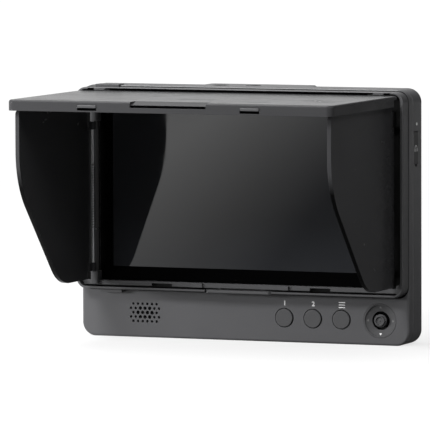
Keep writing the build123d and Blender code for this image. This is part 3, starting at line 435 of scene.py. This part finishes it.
# painted shade: near-black colour laid on the frame's inside and on the wings' down-facing edges, where
# they lie in shade
paintedShade = {
    "half": (67.9, 39.2),      # the tray inside the frame's walls, out from its middle
    "middle": (0.0, 59.6),
    "corner": 3.0,
    "floor": -12.4,
    "skin": 0.05,
    "edge": (-0.45, -0.2),     # how far down an edge faces, from fully shaded to bare
    "colour": (0.0022, 0.0022, 0.0023),
}


def addFlock(mat, mask):
    # painted shade: near-black over a plastic where the mask is 1
    tree = mat.node_tree
    base = tree.nodes["Principled BSDF"].inputs["Base Color"]
    bare = base.links[0].from_socket
    tree.links.new(mixed(tree, mask, bare, paintedShade["colour"]), base)
    return mat


def flocked(mat):
    # painted shade on the floor and the inner walls of the hood's frame, where they lie in shade
    tree = mat.node_tree
    axes = add(tree, "ShaderNodeSeparateXYZ", Vector=objectPoint(tree)).outputs
    corner, skin = paintedShade["corner"] * mm, paintedShade["skin"] * mm
    past = []
    for axis, half, middle in zip("XZ", paintedShade["half"], paintedShade["middle"]):
        out = calc(tree, "ABSOLUTE", calc(tree, "SUBTRACT", axes[axis], middle * mm))
        past.append(calc(tree, "SUBTRACT", out, half * mm - corner))
    # how far a point is outside the tray's rounded outline
    beyond = [calc(tree, "MAXIMUM", value, 0.0) for value in past]
    square = calc(tree, "MULTIPLY", beyond[1], beyond[1])
    diagonal = calc(tree, "SQRT", calc(tree, "MULTIPLY_ADD", beyond[0], beyond[0], square))
    within = calc(tree, "MINIMUM", calc(tree, "MAXIMUM", *past), 0.0)
    outside = calc(tree, "SUBTRACT", calc(tree, "ADD", diagonal, within), corner)
    inner = calc(tree, "LESS_THAN", outside, skin)
    wall = calc(tree, "GREATER_THAN", outside, -skin)
    deep = calc(tree, "GREATER_THAN", axes["Y"], paintedShade["floor"] * mm - skin)
    return addFlock(mat, calc(tree, "MULTIPLY", inner, calc(tree, "MAXIMUM", wall, deep)))


def edgeFlocked(mat):
    # the same painted shade on the edges of a wing that face down
    tree = mat.node_tree
    normal = add(tree, "ShaderNodeTexCoord").outputs["Normal"]
    rise = add(tree, "ShaderNodeSeparateXYZ", Vector=normal).outputs["Z"]
    return addFlock(mat, ramp(tree, rise, *paintedShade["edge"], 1.0, 0.0))


# scales of the drawn lines, small along them
along = {"X": (300.0, 9000.0, 9000.0), "Z": (9000.0, 9000.0, 300.0), "round": (4000.0, 4000.0, 4000.0)}
hoodPaint = {
    "colour": (0.039, 0.039, 0.0407),
    "roughness": 0.16,
    "specular": 0.15,
    "Drift": 0.12,
    "Grain depth": 0.06,
}
framePaint = {"colour": (0.066, 0.066, 0.0685), "roughness": 0.34, "Drift": 0.16}
finishes = {
    "case_plastic": plastic("casePlastic", (0.072, 0.072, 0.0752), 0.34, specular=0.8, Drift=0.16),
    "hood_plastic": plastic("hoodPlastic", **hoodPaint),
    "bezel_black": plastic("bezelBlack", (0.0012, 0.0012, 0.0013), 0.34, specular=0.01, Drift=0.3),
    "screen_glass": screenGlass(),
    "key_plastic": plastic("keyPlastic", (0.062, 0.062, 0.064), 0.38, Drift=0.2),
    "inner_plastic": plastic("innerPlastic", (0.022, 0.022, 0.022), 0.55, Drift=0.2),
    "board": circuitBoard(),
    "display_cell": metal("cellFrame", (0.46, 0.46, 0.47), 0.38, along["X"]),
    "chassis_metal": metal("chassisSheet", (0.58, 0.59, 0.60), 0.34, along["X"], contrast=0.22),
    "steel": metal("darkSteel", (0.30, 0.30, 0.31), 0.30, along["round"], contrast=0.25),
    "contact_metal": metal("gildedSpring", (0.86, 0.62, 0.26), 0.24, along["Z"], contrast=0.2),
    "mesh_cloth": grilleCloth(),
    "cover_rubber": plastic("coverRubber", (0.060, 0.060, 0.061), 0.62, specular=0.4, Drift=0.2),
    "lamp_lens": lampLens(),
    # finishes of this script's own, beside the record's material slots
    "frame_plastic": plastic("framePlastic", **framePaint),
    # painted shade inside the hood's frame
    "frame_painted_shade": flocked(plastic("frameShadePainted", **framePaint)),
    # painted shade on the wings' edges that face down
    "wing_painted_shade": edgeFlocked(plastic("wingShadePainted", **hoodPaint)),
    "bright_steel": metal("brightSteel", (0.66, 0.66, 0.67), 0.24, along["Z"], contrast=0.2),
    "print": printedInk("whiteInk", (0.82, 0.82, 0.82)),
    "dull_print": printedInk("greyInk", (0.19, 0.19, 0.19)),
}
ownFinish = {
    "hood_frame": "frame_painted_shade",
    "hood_foot": "frame_plastic",
    "hood_clip": "frame_plastic",
    "hood_release_tab": "frame_plastic",
    "hood_wing_left": "wing_painted_shade",
    "hood_wing_right": "wing_painted_shade",
    "wing_rod_left": "bright_steel",
    "wing_rod_right": "bright_steel",
}
for part in frame["record"]["subparts"]:
    piece = frame["nodes"][part["node"]]
    piece.data.materials.clear()
    piece.data.materials.append(finishes[ownFinish.get(part["node"], part["material_slot"])])
print("materials on the CAD nodes")


# pieces made here

def boxOf(node):
    # the low and the high corner of a CAD node's box, in mm
    return [Vector(corner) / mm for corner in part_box(node)]


def middleOf(node):
    low, high = boxOf(node)
    return (low + high) / 2


def finishPiece(name, shape, finish, body, smooth=False):
    # bmesh to a piece that rides on a body, with its normals turned outwards
    bmesh.ops.remove_doubles(shape, verts=shape.verts, dist=1e-7)
    bmesh.ops.recalc_face_normals(shape, faces=shape.faces)
    if shape.calc_volume(signed=True) < 0:
        bmesh.ops.reverse_faces(shape, faces=shape.faces)
    data = bpy.data.meshes.new(name)
    shape.to_mesh(data)
    shape.free()
    for face in data.polygons:
        face.use_smooth = smooth
    data.materials.append(finishes[finish])
    piece = bpy.data.objects.new(name, data)
    bpy.context.collection.objects.link(piece)
    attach(piece, body)
    return piece


def addBar(shape, centre, size, rounding, axis):
    # a bar with its edges along one axis rounded off
    matrix = Matrix.LocRotScale(Vector(centre) * mm, None, Vector(size) * mm)
    made = bmesh.ops.create_cube(shape, size=1.0, matrix=matrix)
    corners, number = set(made["verts"]), "XYZ".index(axis)
    edges = [edge for edge in shape.edges if corners.issuperset(edge.verts)]
    chosen = [edge for edge in edges
              if abs((edge.verts[0].co - edge.verts[1].co).normalized()[number]) > 0.99]
    bmesh.ops.bevel(shape, geom=chosen, offset=rounding * mm, segments=4, profile=0.5,
                    affect="EDGES", material=-1)


def raised(shape, direction):
    # every face so far, thickened towards a direction given in mm
    top = bmesh.ops.extrude_face_region(shape, geom=list(shape.faces))["geom"]
    verts = [item for item in top if isinstance(item, bmesh.types.BMVert)]
    bmesh.ops.translate(shape, verts=verts, vec=Vector(direction) * mm)


def closeEnds(shape):
    bmesh.ops.holes_fill(shape, edges=[edge for edge in shape.edges if edge.is_boundary], sides=0)


def facing(normal, up, origin):
    # a matrix that lays the XY plane on a face: Z out of it, Y upwards
    z, y = Vector(normal).normalized(), Vector(up).normalized()
    turn = Matrix((y.cross(z), y, z)).transposed().to_4x4()
    return Matrix.Translation(Vector(origin) * mm) @ turn


springs = {
    "wire": 0.40,
    "wireSides": 8,
    "radius": 0.85,
    "pitch": 1.03,
    "stepsPerTurn": 20,
    "leg": 3.2,
}


def coilSpring(node):
    # a wire's ring carried round the rod, with a straight leg at each end
    low, high = boxOf(node)
    middle = middleOf(node)
    wire, pitch = springs["wire"] / 2, springs["pitch"]
    start = Matrix.Translation(Vector((middle.x + springs["radius"], middle.y, low.z + wire)) * mm)
    shape = bmesh.new()
    bmesh.ops.create_circle(shape, cap_ends=False, radius=wire * mm, segments=springs["wireSides"],
                            matrix=start @ Matrix.Rotation(math.pi / 2, 4, "X"))
    turns = int((high.z - low.z - 2 * wire) / pitch)
    steps = turns * springs["stepsPerTurn"]
    first = list(shape.edges)
    spun = bmesh.ops.spin(shape, geom=first, cent=(middle.x * mm, middle.y * mm, 0), axis=(0, 0, 1),
                          dvec=(0, 0, pitch * mm * turns / steps), angle=2 * math.pi * turns, steps=steps)
    last = [item for item in spun["geom_last"] if isinstance(item, bmesh.types.BMEdge)]
    for edges, reach in ((first, springs["leg"]), (last, -springs["leg"])):
        leg = bmesh.ops.extrude_edge_only(shape, edges=edges)["geom"]
        ends = [item for item in leg if isinstance(item, bmesh.types.BMVert)]
        bmesh.ops.translate(shape, verts=ends, vec=(0, reach * mm, 0))
    closeEnds(shape)
    piece = finishPiece(node + "Coil", shape, "steel", "monitor", smooth=True)
    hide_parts(node)


coilSpring("wing_spring_left")
coilSpring("wing_spring_right")

threads = {
    "radius": 3.2,
    "depth": 0.42,
    "pitch": 1.27,
    "flank": 0.42,             # each flank's share of the pitch
    "lead": 0.25,              # from the mouth to the first flank
    "turns": 5,
    "stepsPerTurn": 28,
}


def threadRidge(name, node, inward):
    # a triangular ridge wound down the wall of a tripod socket, from its mouth
    low, high = boxOf(node)
    middle = middleOf(node)
    half = threads["pitch"] * threads["flank"]
    mouth = low.z if inward > 0 else high.z
    start = mouth + inward * (half + threads["lead"])
    crest = threads["radius"] - threads["depth"]
    shape = bmesh.new()
    corners = [shape.verts.new(Vector((middle.x + out, middle.y, start + rise)) * mm) for out, rise in
               ((threads["radius"], -half), (crest, 0), (threads["radius"], half))]
    ring = [shape.edges.new((corners[i - 1], corners[i])) for i in range(3)]
    advance = inward * threads["pitch"] * mm / threads["stepsPerTurn"]
    bmesh.ops.spin(shape, geom=ring, cent=(middle.x * mm, middle.y * mm, 0), axis=(0, 0, 1),
                   dvec=(0, 0, advance), angle=2 * math.pi * threads["turns"],
                   steps=threads["turns"] * threads["stepsPerTurn"])
    closeEnds(shape)
    finishPiece(name, shape, "steel", "monitor")


threadRidge("threadTop", "tripod_socket_top", -1)
threadRidge("threadBase", "tripod_socket_base", 1)
print("springs and threads")

pictureInput = {
    "depth": 1.5,              # from the socket's inner end to the tongue's
    "tongue": (6.4, 0.9, 11.0),
    "contacts": 9,
    "pitch": 1.1,
    "strip": (5.6, 0.05, 0.42),
    "rounding": (0.2, 0.02),   # of the tongue and of each contact
}


def inputTongue():
    middle = middleOf("hdmi_socket")
    innerX = boxOf("hdmi_socket")[1].x
    long, thick, wide = pictureInput["tongue"]
    tongueRounding, stripRounding = pictureInput["rounding"]
    x = innerX - pictureInput["depth"] - long / 2
    tongue = bmesh.new()
    addBar(tongue, (x, middle.y, middle.z), (long, thick, wide), tongueRounding, "Z")
    finishPiece("inputTongue", tongue, "inner_plastic", "monitor")
    strips = bmesh.new()
    count = pictureInput["contacts"]
    for row in (-1, 1):
        for index in range(count):
            z = middle.z + (index - (count - 1) / 2) * pictureInput["pitch"]
            addBar(strips, (x, middle.y + row * thick / 2, z), pictureInput["strip"], stripRounding, "X")
    finishPiece("inputContacts", strips, "contact_metal", "monitor")


inputTongue()
print("picture input")

# painted shadow round the hood's frame
frameShadow = {
    "side": 0.1,               # how far it shows past the hood's frame on each side
    "below": 0.72,
    "above": 0.25,
    "corner": 4.3,
    "stepsPerCorner": 8,
    "within": 1.1,             # how far it reaches in under the frame's wall
    "thick": 0.25,
}


def roundedLoop(shape, low, high, corner, y):
    # a ring of edges in an XZ plane, round a rectangle with rounded corners
    verts, steps = [], frameShadow["stepsPerCorner"]
    for quarter in range(4):
        x = high[0] - corner if quarter in (0, 3) else low[0] + corner
        z = high[1] - corner if quarter in (0, 1) else low[1] + corner
        for step in range(steps + 1):
            angle = math.pi / 2 * (quarter + step / steps)
            point = Vector((x + corner * math.cos(angle), y, z + corner * math.sin(angle)))
            verts.append(shape.verts.new(point * mm))
    return [shape.edges.new(ends) for ends in zip(verts, verts[1:] + verts[:1])]


def frameGasket():
    # a near-black ring painted as the shadow between the hood's frame and the face of the case, widest
    # below the frame
    frameLow, frameHigh = boxOf("hood_frame")
    corner, within, front = frameShadow["corner"], frameShadow["within"], frameHigh.y - frameShadow["thick"]
    low = (frameLow.x - frameShadow["side"], frameLow.z - frameShadow["below"])
    high = (frameHigh.x + frameShadow["side"], frameHigh.z + frameShadow["above"])
    ring = bmesh.new()
    outer = roundedLoop(ring, low, high, corner, front)
    lower, upper = [value + within for value in low], [value - within for value in high]
    inner = roundedLoop(ring, lower, upper, corner - within, front)
    bmesh.ops.bridge_loops(ring, edges=outer + inner)
    raised(ring, (0, frameShadow["thick"], 0))
    finishPiece("frameGasket", ring, "bezel_black", "monitor")


def topEdge(node, front):
    # the middle of the upper front or upper rear edge of a CAD node's box, in mm
    low, high = boxOf(node)
    return Vector((middleOf(node).x, low.y if front else high.y, high.z))


# each bar of the hood's trim: its middle from the edge it lies at, its size and its rounding
hoodTrim = {
    # the first three bars are near-black strips of painted shade in the gap between the frame and the lid
    "lidGapShade": ((0, -4.35, -1.7), (128.0, 0.3, 1.4), 0.1),
    "lip": ((0.25, -6.44, -0.54), (112.9, 0.08, 0.56), 0.03),
    "frameEdgeShadeEnd": ((62.5, -6.44, -0.54), (2.6, 0.08, 0.56), 0.03),
    "earPad": ((58.85, -6.44, -0.92), (4.4, 0.14, 0.3), 0.05),
    # a near-black strip of painted shade in the bottom of the grip's groove
    "gripShade": ((0, 0.92, -1.8), (31.1, 0.14, 0.96), 0.05),
    "tab": ((33.5, 0.15, -2.13), (7.6, 0.9, 1.15), 0.3),
    # a near-black sheet of painted shade behind each latch window
    "latchShade": ((33.5, 1.75, -2.65), (9.0, 0.3, 2.6), 0.1),
}
trimEdge = {"monitor": topEdge("hood_frame", front=False), "lid": topEdge("hood_lid", front=True)}
bothSides = (-1, 1)


def trimBars(name, key, finish, body, sides=(1,)):
    # one bar of the hood's trim, repeated left and right when both sides are asked for
    (x, y, z), size, rounding = hoodTrim[key]
    bars = bmesh.new()
    for side in sides:
        addBar(bars, trimEdge[body] + Vector((side * x, y, z)), size, rounding, "X")
    finishPiece(name, bars, finish, body)


cornerStop = {
    "size": (2.4, 3.2, 4.0),
    "inset": (2.5, 2.7, 2.9),  # its middle, from the right, the rear and the bottom of the frame
    "rounding": 1.0,
}


def frameStop():
    # the block in the right lower corner of the hood's frame
    low, high = boxOf("hood_frame")
    x, y, z = cornerStop["inset"]
    block = bmesh.new()
    addBar(block, (high.x - x, high.y - y, low.z + z), cornerStop["size"], cornerStop["rounding"], "Y")
    finishPiece("cornerStop", block, "frame_plastic", "monitor")


# painted shadow round the hood's frame
frameGasket()
# painted shade in the gap behind the lid and along the frame's upper front edge
trimBars("lidGapShadeStrip", "lidGapShade", "bezel_black", "monitor")
trimBars("frameEdgeShadeStrip", "lip", "bezel_black", "monitor")
trimBars("frameEdgeShadeEnds", "frameEdgeShadeEnd", "bezel_black", "monitor", bothSides)
trimBars("earPads", "earPad", "frame_plastic", "monitor", bothSides)
# painted shade in the grip's groove
trimBars("gripShade", "gripShade", "bezel_black", "lid")
frameStop()
trimBars("latchTabs", "tab", "frame_plastic", "lid", bothSides)
# painted shade behind the latch windows
trimBars("latchShadeSheets", "latchShade", "bezel_black", "lid", bothSides)
print("hood trim")

marks = {
    "relief": 0.015,           # how thick the ink is
    "bolder": 0.07,
    "keys": ("button_1", "button_2", "button_3"),
    "keyHeight": 2.55,
    "keyAside": 0.2,           # from a key's middle to its mark's
    "keyAbove": 5.75,
    "menuBar": (2.7, 0.36),
    "menuPitch": 0.98,
    "menuRounding": 0.1,
    "sideHeight": 2.2,
    "switchOn": 6.6,           # from the switch's middle
    "switchOff": -7.0,
    "supplyBelow": 6.1,        # from the power input's middle
    "supplyApart": 0.35,
    "supplyLine": (2.4, 0.28),
    "supplyDash": (0.62, 0.28),
    "supplyPitch": 0.88,
    "supplyRounding": 0.08,
}
relief = marks["relief"]
leftX, faceY = boxOf("front_case")[0].xy


def stamp(name, text, height, matrix):
    # a generic letter or number, raised by the thickness of the ink
    curve = bpy.data.curves.new(name, "FONT")
    curve.body = text
    curve.size = height * mm
    curve.align_x, curve.align_y = "CENTER", "CENTER"
    curve.extrude = relief * mm
    curve.offset = marks["bolder"] * mm
    source = bpy.data.objects.new(name, curve)
    flat = bpy.data.meshes.new_from_object(source)
    flat.transform(matrix)
    shape = bmesh.new()
    shape.from_mesh(flat)
    bpy.data.objects.remove(source)
    bpy.data.meshes.remove(flat)
    finishPiece(name, shape, "print", "monitor")


def keyMarks():
    # a number over each of the first keys, and three lines over the last
    spots = []
    for key in marks["keys"]:
        middle = middleOf(key)
        spots.append((middle.x + marks["keyAside"], faceY, middle.z + marks["keyAbove"]))
    for number, spot in enumerate(spots[:-1], 1):
        stamp(f"keyMark{number}", str(number), marks["keyHeight"], facing((0, -1, 0), (0, 0, 1), spot))
    menu = bmesh.new()
    (x, y, z), (wide, high) = spots[-1], marks["menuBar"]
    for row in (-1, 0, 1):
        addBar(menu, (x, y, z + row * marks["menuPitch"]), (wide, 2 * relief, high),
               marks["menuRounding"], "Y")
    finishPiece("keyMarkMenu", menu, "print", "monitor")


def sideMarks():
    # the power switch's two places, and the sign of direct current under the power input
    switch = middleOf("power_switch")
    for name, text, key in (("switchMarkOn", "I", "switchOn"), ("switchMarkOff", "O", "switchOff")):
        spot = (leftX, switch.y, switch.z + marks[key])
        stamp(name, text, marks["sideHeight"], facing((-1, 0, 0), (0, 0, 1), spot))
    z = middleOf("dc_socket").z - marks["supplyBelow"]
    above, below, rounding = z + marks["supplyApart"], z - marks["supplyApart"], marks["supplyRounding"]
    supply = bmesh.new()
    addBar(supply, (leftX, switch.y, above), (2 * relief, *marks["supplyLine"]), rounding, "X")
    for step in (-1, 0, 1):
        y = switch.y + step * marks["supplyPitch"]
        addBar(supply, (leftX, y, below), (2 * relief, *marks["supplyDash"]), rounding, "X")
    finishPiece("supplyMark", supply, "print", "monitor")


keyMarks()
sideMarks()

stickMarks = {
    "ring": 5.2,
    "size": 0.62,
    "lip": (6.25, 0.35),       # radius and depth of the dish's outer edge
    "slope": 0.365,
    "relief": 0.04,
    "angles": (90, 180, 0, -90),
    "printed": -90,
}


def stickArrows():
    # four small arrows on the dish round the stick, the lowest one printed
    centre = middleOf("stick_base")
    lipR, lipDepth = stickMarks["lip"]
    tilt = math.atan(stickMarks["slope"])
    depth = lipDepth + (lipR - stickMarks["ring"]) * stickMarks["slope"]
    for index, angle in enumerate(stickMarks["angles"], 1):
        out = Vector((math.cos(math.radians(angle)), 0, math.sin(math.radians(angle))))
        outward = out * math.cos(tilt) + Vector((0, -math.sin(tilt), 0))
        normal = Vector((0, -math.cos(tilt), 0)) - out * math.sin(tilt)
        spot = Vector((centre.x, faceY + depth, centre.z)) + out * stickMarks["ring"]
        shape = bmesh.new()
        bmesh.ops.create_circle(shape, cap_ends=True, radius=stickMarks["size"] * mm, segments=3)
        raised(shape, (0, 0, stickMarks["relief"]))
        bmesh.ops.transform(shape, matrix=facing(normal, outward, spot), verts=shape.verts)
        finish = "print" if angle == stickMarks["printed"] else "dull_print"
        finishPiece(f"stickMark{index}", shape, finish, "monitor")


stickArrows()

soundMark = {
    "above": 0.3,              # from the sound socket's middle
    "band": (1.0, 1.32),
    "bandSteps": 20,
    "pad": (0.62, 1.25),
    "overlap": 0.1,            # how far the pads reach up past the band's ends
    "rounding": 0.15,
}


def headphoneMark():
    # a head band and its two pads, printed on the flap over the sound socket
    x, y = boxOf("port_cover")[1].x, middleOf("port_cover").y
    z = middleOf("sound_socket").z + soundMark["above"]
    inner, outer = soundMark["band"]
    shape = bmesh.new()
    ends = [shape.verts.new(Vector((x, y + radius, z)) * mm) for radius in (inner, outer)]
    bmesh.ops.spin(shape, geom=[shape.edges.new(ends)], cent=Vector((x, y, z)) * mm, axis=(1, 0, 0),
                   angle=math.pi, steps=soundMark["bandSteps"])
    raised(shape, (relief, 0, 0))
    wide, high = soundMark["pad"]
    for side in (-1, 1):
        addBar(shape, (x, y + side * (inner + outer) / 2, z - high / 2 + soundMark["overlap"]),
               (2 * relief, wide, high), soundMark["rounding"], "X")
    finishPiece("soundMark", shape, "print", "side_cover")


headphoneMark()
print("marks")


# camera, light and floor

view = {
    "target": (-12.14, -11.4, 49.52),
    "distance": 2290.92,
    "yaw": 21.78,
    "pitch": 4.31,
    "roll": -0.18,
    "focalPixels": 5800.0,
    "framePixels": 430.0,
    "sensor": 36.0,
}


def placeCamera():
    yaw, pitch = math.radians(view["yaw"]), math.radians(view["pitch"])
    back = Vector((math.sin(yaw) * math.cos(pitch), -math.cos(yaw) * math.cos(pitch), math.sin(pitch)))
    camera = bpy.data.objects.new("stillCamera", bpy.data.cameras.new("stillCamera"))
    bpy.context.collection.objects.link(camera)
    camera.data.sensor_width = view["sensor"]
    camera.data.lens = view["focalPixels"] / view["framePixels"] * view["sensor"]
    camera.data.clip_end = 100
    camera.location = (Vector(view["target"]) + back * view["distance"]) * mm
    level = (-back).to_track_quat("-Z", "Y").to_matrix()
    camera.rotation_euler = (level @ Matrix.Rotation(math.radians(view["roll"]), 3, "Z")).to_euler()
    bpy.context.scene.camera = camera
    bpy.context.scene.view_settings.view_transform = "Standard"


# power in watts, size, position and aim in metres, and whether the object mirrors the lamp
lamps = {
    "topLight": {
        "power": 17.0, "size": (1.2, 0.9), "position": (-0.35, -0.15, 1.3), "aim": (0, 0, 0.05),
        "mirrored": True,
    },
    "frontLight": {
        "power": 15.0, "size": (0.4, 0.35), "position": (-0.30, -1.02, 0.85), "aim": (0, 0, 0.03),
        "mirrored": False,
    },
    "lowLight": {
        "power": 2.0, "size": (0.15, 0.05), "position": (-0.36, -0.29, 0.08), "aim": (-0.03, -0.011, 0.01),
        "mirrored": False,
    },
    "rightLight": {
        "power": 3.8, "size": (0.6, 0.5), "position": (0.95, -0.85, 1.0), "aim": (0, -0.02, 0.04),
        "mirrored": False,
    },
}


def softbox(name, power, size, position, aim, mirrored):
    lamp = bpy.data.lights.new(name, "AREA")
    lamp.energy = power
    lamp.shape = "RECTANGLE"
    lamp.size, lamp.size_y = size
    holder = bpy.data.objects.new(name, lamp)
    bpy.context.collection.objects.link(holder)
    holder.visible_glossy = mirrored
    holder.location = position
    holder.rotation_euler = (Vector(aim) - Vector(position)).to_track_quat("-Z", "Y").to_euler()


# the room's light on the object, and what the object mirrors of it
studio = {
    "base": 0.03,
    "top": 0.45,
    "left": 0.20,
    "back": 0.20,
    "mirrorBase": 0.05,
    "mirrorBack": 0.56,
    "mirrorLeft": 0.50,
    "mirrorRight": 1.0,
    "leftAxis": (-1, -0.25, 0.2),
    "rightAxis": (0.93, -0.37, 0.15),
    "rise": 0.2,               # how far up the sheet behind the object lies
    "topEdge": (0.0, 0.9),     # each part's edge, from none of its light to all of it
    "leftEdge": (0.0, 1.0),
    "backEdge": (0.93, 0.97),
    "rightEdge": (0.70, 0.80),
}


def toward(tree, direction, axis, low, high, toLow=0.0, toHigh=1.0):
    # how far a vector leans to an axis, from 0 to 1 unless two levels are given
    lean = vectorCalc(tree, "DOT_PRODUCT", direction, Vector(axis).normalized())["Value"]
    return ramp(tree, lean, low, high, toLow, toHigh)


def seenDirectly(tree, rays):
    return calc(tree, "ADD", rays["Is Camera Ray"], rays["Is Transmission Ray"], clamp=True)


def makeWorld():
    # white where the camera looks past the object, a soft room for its light and reflections
    world = bpy.data.worlds.new("studio")
    bpy.context.scene.world = world
    tree, surface = emptyTree(world, "ShaderNodeOutputWorld")
    direction = add(tree, "ShaderNodeTexCoord").outputs["Generated"]
    yaw = math.radians(view["yaw"])
    away = (-math.sin(yaw), math.cos(yaw), studio["rise"])
    top = toward(tree, direction, (0, 0, 1), *studio["topEdge"])
    left = toward(tree, direction, studio["leftAxis"], *studio["leftEdge"])
    back = toward(tree, direction, away, *studio["backEdge"])
    right = toward(tree, direction, studio["rightAxis"], *studio["rightEdge"])
    light = calc(tree, "MULTIPLY_ADD", top, studio["top"], studio["base"])
    light = calc(tree, "MULTIPLY_ADD", left, studio["left"], light)
    light = calc(tree, "MULTIPLY_ADD", back, studio["back"], light)
    mirror = calc(tree, "MULTIPLY_ADD", back, studio["mirrorBack"], studio["mirrorBase"])
    mirror = calc(tree, "MULTIPLY_ADD", left, studio["mirrorLeft"], mirror, clamp=True)
    mirror = calc(tree, "MULTIPLY_ADD", right, studio["mirrorRight"], mirror)
    rays = add(tree, "ShaderNodeLightPath").outputs
    level = mixed(tree, rays["Is Glossy Ray"], light, mirror, kind="FLOAT")
    strength = mixed(tree, seenDirectly(tree, rays), level, 1.0, kind="FLOAT")
    shade = add(tree, "ShaderNodeBackground", Color=(1, 1, 1), Strength=strength)
    tree.links.new(shade.outputs[0], surface)


table = {
    "size": 6.0,               # metres from its middle to each side
    "paint": (0.20, 0.20, 0.20),
    "near": (0.3, 2.5),        # metres from the middle, over which the glow rises to white
    "glow": (0.72, 1.0),
    "axis": (-1, 0.31, 0),     # in reflections it is white on its left and falls away to the front right
    "edge": (0.0096, 0.130),
    "mirror": (0.07, 1.0),
}


def makeFloor():
    mesh = bmesh.new()
    bmesh.ops.create_grid(mesh, x_segments=1, y_segments=1, size=table["size"])
    bmesh.ops.translate(mesh, verts=mesh.verts, vec=(0, 0, cadBox[0][2]))
    data = bpy.data.meshes.new("floor")
    mesh.to_mesh(data)
    mesh.free()
    floor = bpy.data.objects.new("floor", data)
    bpy.context.collection.objects.link(floor)
    mat = bpy.data.materials.new("paleFloor")
    tree, surface = emptyTree(mat, "ShaderNodeOutputMaterial")
    rays = add(tree, "ShaderNodeLightPath").outputs
    point = objectPoint(tree)
    # the paint is black to reflections, which see the glow alone
    shade = mixed(tree, rays["Is Glossy Ray"], table["paint"], (0, 0, 0))
    paint = add(tree, "ShaderNodeBsdfDiffuse", Color=shade)
    far = vectorCalc(tree, "LENGTH", point)["Value"]
    pale = ramp(tree, far, *table["near"], *table["glow"])
    level = toward(tree, point, table["axis"], *table["edge"], *table["mirror"])
    mirrored = calc(tree, "MULTIPLY", level, rays["Is Glossy Ray"])
    strength = calc(tree, "MULTIPLY_ADD", seenDirectly(tree, rays), pale, mirrored)
    glow = add(tree, "ShaderNodeEmission", Color=(1, 1, 1), Strength=strength)
    both = add(tree, "ShaderNodeAddShader")
    tree.links.new(paint.outputs[0], both.inputs[0])
    tree.links.new(glow.outputs[0], both.inputs[1])
    tree.links.new(both.outputs[0], surface)
    data.materials.append(mat)


placeCamera()
makeWorld()
makeFloor()
for name, lamp in lamps.items():
    softbox(name, **lamp)
print("camera, light and floor")
